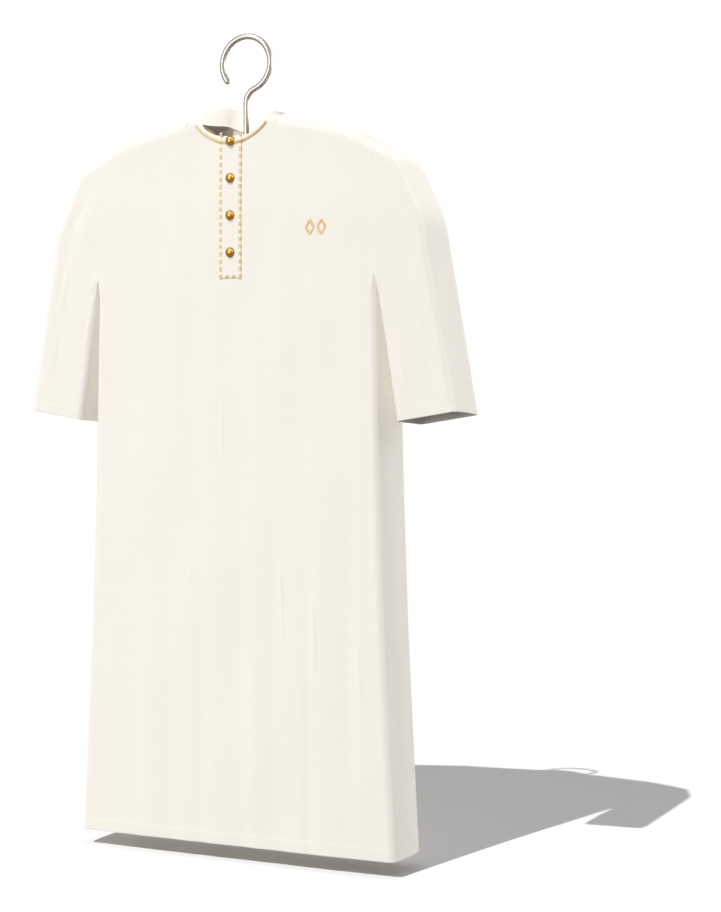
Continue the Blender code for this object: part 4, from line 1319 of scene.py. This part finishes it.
def gold_work():
    """Gold bars along both edges and the foot of the strip, and diamonds on the chest."""
    look = gold_thread("gold_satin_thread")
    half = GOLD_BAR / 2
    lines = []
    for side in (-1, 1):
        x = side * GOLD_BARS_X
        for z in GOLD_BARS_FROM_Z + np.arange(GOLD_BARS) * GOLD_BAR_PITCH:
            lines.append(((x, z - half), (x, z + half)))
    for x in (-LOW_BARS_X, LOW_BARS_X):
        lines.append(((x - half, LOW_BARS_Z), (x + half, LOW_BARS_Z)))
    parts = [satin(start, end, GOLD_BAR_WIDTH, SEAM + STRIP_WALL) for start, end in lines]
    on_strip = add_threads("strip_gold_bars", parts, look)
    parts = []
    for x in DIAMOND_XS:
        foot, tip = (x, DIAMOND_Z - DIAMOND_HALF_HEIGHT), (x, DIAMOND_Z + DIAMOND_HALF_HEIGHT)
        for side in (-1, 1):
            corner = (x + side * DIAMOND_HALF_WIDTH, DIAMOND_Z)
            parts.append(satin(foot, corner, DIAMOND_BAR_WIDTH, 0))
            parts.append(satin(corner, tip, DIAMOND_BAR_WIDTH, DIAMOND_OVERLAP))
    return on_strip, add_threads("gold_diamonds", parts, look)


BRAID_STRAND = 0.00105  # radius
BRAID_SWAY = 0.00150  # half of how far a strand wanders across
BRAID_HOP = 0.00040  # how far it climbs over the others
BRAID_WAVE = 0.0120  # length of one full wander
BRAID_STEP = 0.0007
BRAID_PLACES = 400  # on the line that the braid follows
BRAID_SIDES = 8


def braid_line():
    """The middle line of the neck braid and its surface's normal."""
    reach = math.radians(BRAID_REACH)
    x = NECK_HALF_WIDTH * np.sin(np.linspace(-reach, reach, BRAID_PLACES))
    place, outward = body_frame("front", x, neck_over("front", x) + BRAID_BELOW_SEAM)
    climb = 1 - ramp(np.abs(x), STRIP_HALF_WIDTH, STRIP_HALF_WIDTH + BRAID_RAMP)
    return place + outward * (SEAM + (SEAM + STRIP_WALL) * climb)[:, None], outward


def braid():
    """A flat plait of three gold strands round the front of the neck."""
    line, outward = braid_line()
    gone = lengths_along(line)
    places = np.arange(0, gone[-1], BRAID_STEP)
    middle = at_length(line, gone, places)
    up = unit(at_length(outward, gone, places))
    side = unit(np.cross(slopes(middle[:, None], 0)[:, 0], up))
    parts = []
    for strand in range(3):
        turn = (2 * math.pi * (places / BRAID_WAVE + strand / 3))[:, None]
        sway = BRAID_SWAY * np.sin(turn)
        hop = BRAID_HOP * np.sin(2 * turn) + BRAID_STRAND + BRAID_HOP
        parts.append(tube(middle + side * sway + up * hop, up, BRAID_STRAND, BRAID_SIDES))
    look = gold_thread("gold_plait_cord")
    return add_threads("neck_plait", parts, look, stands_for="neck_braid")


BUTTON_RIM = (
    # radius, height over the strip
    (0.0088, 0.0000),
    (0.0094, 0.0001),
    (0.0098, 0.0004),
    (0.0100, 0.0008),
    (0.0099, 0.0012),
    (0.0096, 0.0015),
    (0.0092, 0.0016),
    (0.0089, 0.0015),
    (0.0087, 0.0017),
)
BUTTON_DOME = 0.0055  # rise of the dome inside the rim
BUTTON_SIDES = 40
BUTTON_SHARP = 60  # degrees
DOME_RINGS = 11
TO_TIP = 0.001  # from the dome's last ring to its tip, over the metal


def buttons():
    """Four domed metal buttons with a rolled rim, down the strip."""
    look = button_metal("old_gold_metal")
    radius, foot = BUTTON_RIM[-1]
    turns = np.linspace(0, math.pi / 2, DOME_RINGS + 1)[1:-1]
    dome = [(radius * math.cos(turn), foot + BUTTON_DOME * math.sin(turn)) for turn in turns]
    profile = np.array(list(BUTTON_RIM) + dome)
    out, high = profile[:, :1], profile[:, 1:]
    gone = lengths_along(profile)
    around = np.arange(BUTTON_SIDES) * 2 * math.pi / BUTTON_SIDES
    measure = vectors(out * around, gone[:, None], 0.0).reshape(-1, 3)
    measure = np.concatenate([measure, [[0, gone[-1] + TO_TIP, 0], [0, 0, 0]]])
    corner = corner_grid(len(profile), BUTTON_SIDES)
    tip, back = corner.size, corner.size + 1
    faces = ring_quads(corner).tolist()
    for ring, middle in ((corner[-1], tip), (corner[0, ::-1], back)):
        faces += [[a, middle, b] for a, b in zip(ring.tolist(), np.roll(ring, -1).tolist())]
    made = []
    for number, z in enumerate(BUTTON_ZS, start=1):
        seat = body_point("front", np.array(0.0), over_at(0.0, z))[1] - 2 * SEAM - STRIP_WALL
        if number == 1:
            seat -= SEAM + BRAID_THICKNESS
        rings = vectors(out * np.cos(around), seat - high, z + out * np.sin(around))
        ends = [[0, seat - foot - BUTTON_DOME, z], [0, seat, z]]
        points = np.concatenate([rings.reshape(-1, 3), ends])
        made.append(add_piece(
            f"dome_button_{number}", points, faces, look, measure,
            stands_for=f"button_{number}", sharp=BUTTON_SHARP,
        ))
    return made


# ------------------------------------------------------------------ hanger and hook
HANGER_SIDES = 36
HANGER_STEP = 0.007
HANGER_TIP_PLACES = 5


def hanger_top(x):
    """Height of the hanger's upper edge: a saddle at the stem, then just under the cloth."""
    slope = (shoulder_z(x + SMALL_STEP) - shoulder_z(x)) / SMALL_STEP
    wall = SOLID_WALL * np.sqrt(1 + slope**2)
    under_cloth = shoulder_z(x) + TOP_CROWN - wall - HANGER_CLEARANCE
    return lerp(HANGER_CENTRE_Z, under_cloth, ramp(x, HANGER_SADDLE, HANGER_ARM_FROM))


def make_hanger():
    """One shaped wooden bar with rounded arms that widen towards the shoulders."""
    sections = np.array(HANGER_SECTIONS)
    plain = even_steps(0, sections[-2, 0], HANGER_STEP)
    half = joined(plain, np.linspace(sections[-2, 0], sections[-1, 0], HANGER_TIP_PLACES))
    x = np.concatenate([-half[:0:-1], half])[:, None]
    wide, high = (np.interp(np.abs(x), sections[:, 0], sections[:, k]) for k in (1, 2))
    turn = np.arange(HANGER_SIDES) * 2 * math.pi / HANGER_SIDES
    across, up = (
        np.sign(part) * np.abs(part) ** HANGER_SQUARENESS for part in (np.sin(turn), np.cos(turn))
    )
    middle = hanger_top(np.abs(x)) - high / 2
    points = vectors(x, wide / 2 * across, middle + high / 2 * up)
    corner = corner_grid(*points.shape[:2])
    faces = ring_quads(corner)[:, ::-1].tolist() + [corner[0, ::-1].tolist(), corner[-1].tolist()]
    look = polished_wood("varnished_wood")
    add_piece(
        "hanger_wood_arms", points, faces, look, stands_for="hanger", sharp=SHARP
    )


HOOK_STEP = 0.003
HOOK_BEND_PLACES = 14
HOOK_SIDES = 28


def wire_arc(x, z, radius, turns):
    """Points of an arc, as (x, z)."""
    return np.stack([x + radius * np.cos(turns), z + radius * np.sin(turns)], axis=-1)


def hook_route():
    """Centre line of the wire: the hook from its tip over the top, the bend, the stem."""
    centre_z = WIRE_RADIUS - HOOK_RADIUS
    fall = math.sqrt(HOOK_RADIUS**2 + 2 * HOOK_RADIUS * HOOK_BEND_RADIUS)
    tip, end = math.radians(HOOK_TIP_DEGREES), math.atan2(-fall, HOOK_BEND_RADIUS)
    turns = even_steps(tip, end, HOOK_STEP / HOOK_RADIUS)
    hook = wire_arc(0.0, centre_z, HOOK_RADIUS, turns)
    bend_z = centre_z - fall
    turns = np.linspace(math.pi + end, math.pi, HOOK_BEND_PLACES)[1:]
    bend = wire_arc(HOOK_BEND_RADIUS, bend_z, HOOK_BEND_RADIUS, turns)
    stem_z = even_steps(bend_z, STEM_BOTTOM_Z + WIRE_RADIUS, HOOK_STEP)[1:]
    flat = np.concatenate([hook, bend, np.stack([0 * stem_z, stem_z], axis=-1)])
    return vectors(flat[:, 0], 0.0, flat[:, 1])


def make_hook():
    """The bent steel wire that hangs the robe on a rail."""
    route = hook_route()
    ups = np.broadcast_to((0.0, -1.0, 0.0), route.shape)
    points, faces, measure = tube(route, ups, WIRE_RADIUS, HOOK_SIDES)
    look = brushed_steel("brushed_steel")
    add_piece("steel_hook", points, faces, look, measure, stands_for="hook")


# ------------------------------------------------------------------ floor, light and camera
FLOOR_Z = -1.668
FLOOR_SIZE = 60.0
SKY, SKY_BELOW = 0.42, 0.32  # light from above and from below
BACKDROP = 1.02  # how bright the sky is where the camera looks past the robe
SUN_PLACE = (0.0, 0.0, 2.0)
SUN_TRAVEL = (0.18, 0.715, -1.0)
SUN_STRENGTH = 2.6
SUN_ANGLE = math.radians(0.5)
AT_THE_FRONT, AT_THE_SIDE = (-1.9, -7.0, 0.1), (5.9, 2.6, 1.0)
SOFT_LIGHTS = (
    # name, place, aim, size, power, casts a shadow, what it lights
    ("front_fill", AT_THE_FRONT, (0.0, 0.0, -0.9), 3.0, 270.0, True, "robe"),
    ("collar_wrap", (4.2, -5.9, 0.3), (0.0, 0.0, -0.2), 3.0, 280.0, False, "collar"),
    ("neck_glow", (0.0, -0.045, -0.20), (-0.03, 0.06, -0.15), 0.05, 0.068, False, "collar"),
    ("side_fill", AT_THE_SIDE, (0.35, 0.0, -0.95), 2.6, 95.0, True, "all"),
    ("outer_fill", AT_THE_SIDE, (0.35, 0.0, -0.95), 2.6, 250.0, True, "rest"),
    ("side_wrap", AT_THE_SIDE, (0.35, 0.0, -0.95), 2.6, 243.0, False, "sides"),
    ("back_fill", (-0.8, 7.0, 0.6), (0.0, 0.0, -0.9), 3.0, 135.0, True, "all"),
    ("button_light", (3.1, -0.8, 1.9), (0.0, 0.0, -0.25), 1.3, 110.0, False, "buttons"),
)
CAMERA_PLACE = (1.9749, -3.5385, -0.733)
CAMERA_AIM = (0.2585, -0.0005, -0.8444)
CAMERA_LENS, CAMERA_SENSOR = 78.1, 36  # millimetres
CAMERA_CLIP = (0.1, 200)


def aimed(made, place, aim):
    """Puts a light or camera at a place and points it at another."""
    made.location = place
    made.rotation_mode = "QUATERNION"
    made.rotation_quaternion = (Vector(aim) - Vector(place)).to_track_quat("-Z", "Y")
    return made


def make_floor():
    """A pale floor that throws no light back onto the robe."""
    look = Look("pale_floor", Specular_IOR_Level=0.0, Roughness=1.0)
    spots = look.noise(look.node("ShaderNodeTexCoord", output="Object"), 3.0, 3.0)
    look.write(Base_Color=look.between(spots, *COLOURS["floor"]))
    half = FLOOR_SIZE / 2
    corners = ((-half, -half), (half, -half), (half, half), (-half, half))
    mesh = bpy.data.meshes.new("floor")
    mesh.from_pydata([(x, y, FLOOR_Z) for x, y in corners], [], [(0, 1, 2, 3)])
    mesh.materials.append(look.material)
    floor = bpy.data.objects.new("floor", mesh)
    floor.visible_diffuse = False
    floor.visible_glossy = False
    bpy.context.scene.collection.objects.link(floor)
    return floor


def make_sky():
    """Even light from all round, in front of a white backdrop."""
    world = bpy.data.worlds.new("studio")
    bpy.context.scene.world = world
    world.use_nodes = True
    tree = world.node_tree
    shader = tree.nodes["Background"]
    shader.inputs["Color"].default_value = (1, 1, 1, 1)
    seen = Value(tree, tree.nodes.new("ShaderNodeLightPath").outputs["Is Camera Ray"])
    way = tree.nodes.new("ShaderNodeTexCoord")
    split = tree.nodes.new("ShaderNodeSeparateXYZ")
    tree.links.new(way.outputs["Generated"], split.inputs[0])
    above = Value(tree, split.outputs["Z"]).maths("GREATER_THAN", 0.0)
    light = above * (SKY - SKY_BELOW) + SKY_BELOW
    strength = seen * (BACKDROP - light) + light
    tree.links.new(strength.socket, shader.inputs["Strength"])


def lit_pieces(name, pieces, state):
    """The pieces that a light reaches: the named ones alone, or all but them."""
    chosen = bpy.data.collections.new(name)
    for piece in pieces:
        chosen.objects.link(piece)
    for entry in chosen.collection_objects:
        entry.light_linking.link_state = state
    return chosen


def make_sun(name, shadow, pieces):
    """The key light; the collar has one of its own, without shadows."""
    sun = bpy.data.lights.new(name, "SUN")
    sun.energy = SUN_STRENGTH
    sun.angle = SUN_ANGLE
    sun.use_shadow = shadow
    key = bpy.data.objects.new(name, sun)
    key.light_linking.receiver_collection = pieces
    aim = Vector(SUN_PLACE) + Vector(SUN_TRAVEL)
    bpy.context.scene.collection.objects.link(aimed(key, SUN_PLACE, aim))


def make_lights(floor, collar, sides, buttons_on):
    """The key with its hard shadow, and soft lights that leave the floor alone."""
    make_sky()
    make_sun("key", True, lit_pieces("all_but_the_collar", collar, "EXCLUDE"))
    the_collar = lit_pieces("the_collar", collar, "INCLUDE")
    make_sun("collar_key", False, the_collar)
    reached = {
        "all": lit_pieces("all_but_the_floor", [floor], "EXCLUDE"),
        "robe": lit_pieces("all_but_the_neck", [floor, *collar], "EXCLUDE"),
        "collar": the_collar,
        "rest": lit_pieces("all_but_the_sides", [floor, *sides], "EXCLUDE"),
        "sides": lit_pieces("the_sides", sides, "INCLUDE"),
        "buttons": lit_pieces("the_buttons", buttons_on, "INCLUDE"),
    }
    for name, place, aim, size, power, shadow, lights in SOFT_LIGHTS:
        soft = bpy.data.lights.new(name, "AREA")
        soft.energy = power
        soft.size = size
        soft.use_shadow = shadow
        panel = bpy.data.objects.new(name, soft)
        panel.visible_camera = False
        panel.light_linking.receiver_collection = reached[lights]
        bpy.context.scene.collection.objects.link(aimed(panel, place, aim))


def make_camera():
    camera = bpy.data.cameras.new("camera")
    camera.lens = CAMERA_LENS
    camera.sensor_width = CAMERA_SENSOR
    camera.clip_start, camera.clip_end = CAMERA_CLIP
    holder = bpy.data.objects.new("camera", camera)
    bpy.context.scene.collection.objects.link(aimed(holder, CAMERA_PLACE, CAMERA_AIM))
    bpy.context.scene.camera = holder


def main():
    make_camera()
    bpy.context.scene.view_settings.view_transform = "Standard"
    sheets, cloth = make_cloth()
    make_hanger()
    make_hook()
    threads = sew(sheets)
    bars_piece, diamonds = gold_work()
    plait = braid()
    dome_buttons = buttons()
    sides = [
        made[node]
        for made in (cloth, threads)
        for node in ("front", "gore_left", "gore_right", "sleeve_right", "collar")
    ]
    make_lights(make_floor(), [cloth["collar"], threads["collar"]], sides, dome_buttons)
    with_pieces = {node: [piece] for node, piece in threads.items()}
    with_pieces["front"].append(diamonds)
    with_pieces["collar"].append(plait)
    with_pieces["button_strip"] = [bars_piece, *dome_buttons]


main()
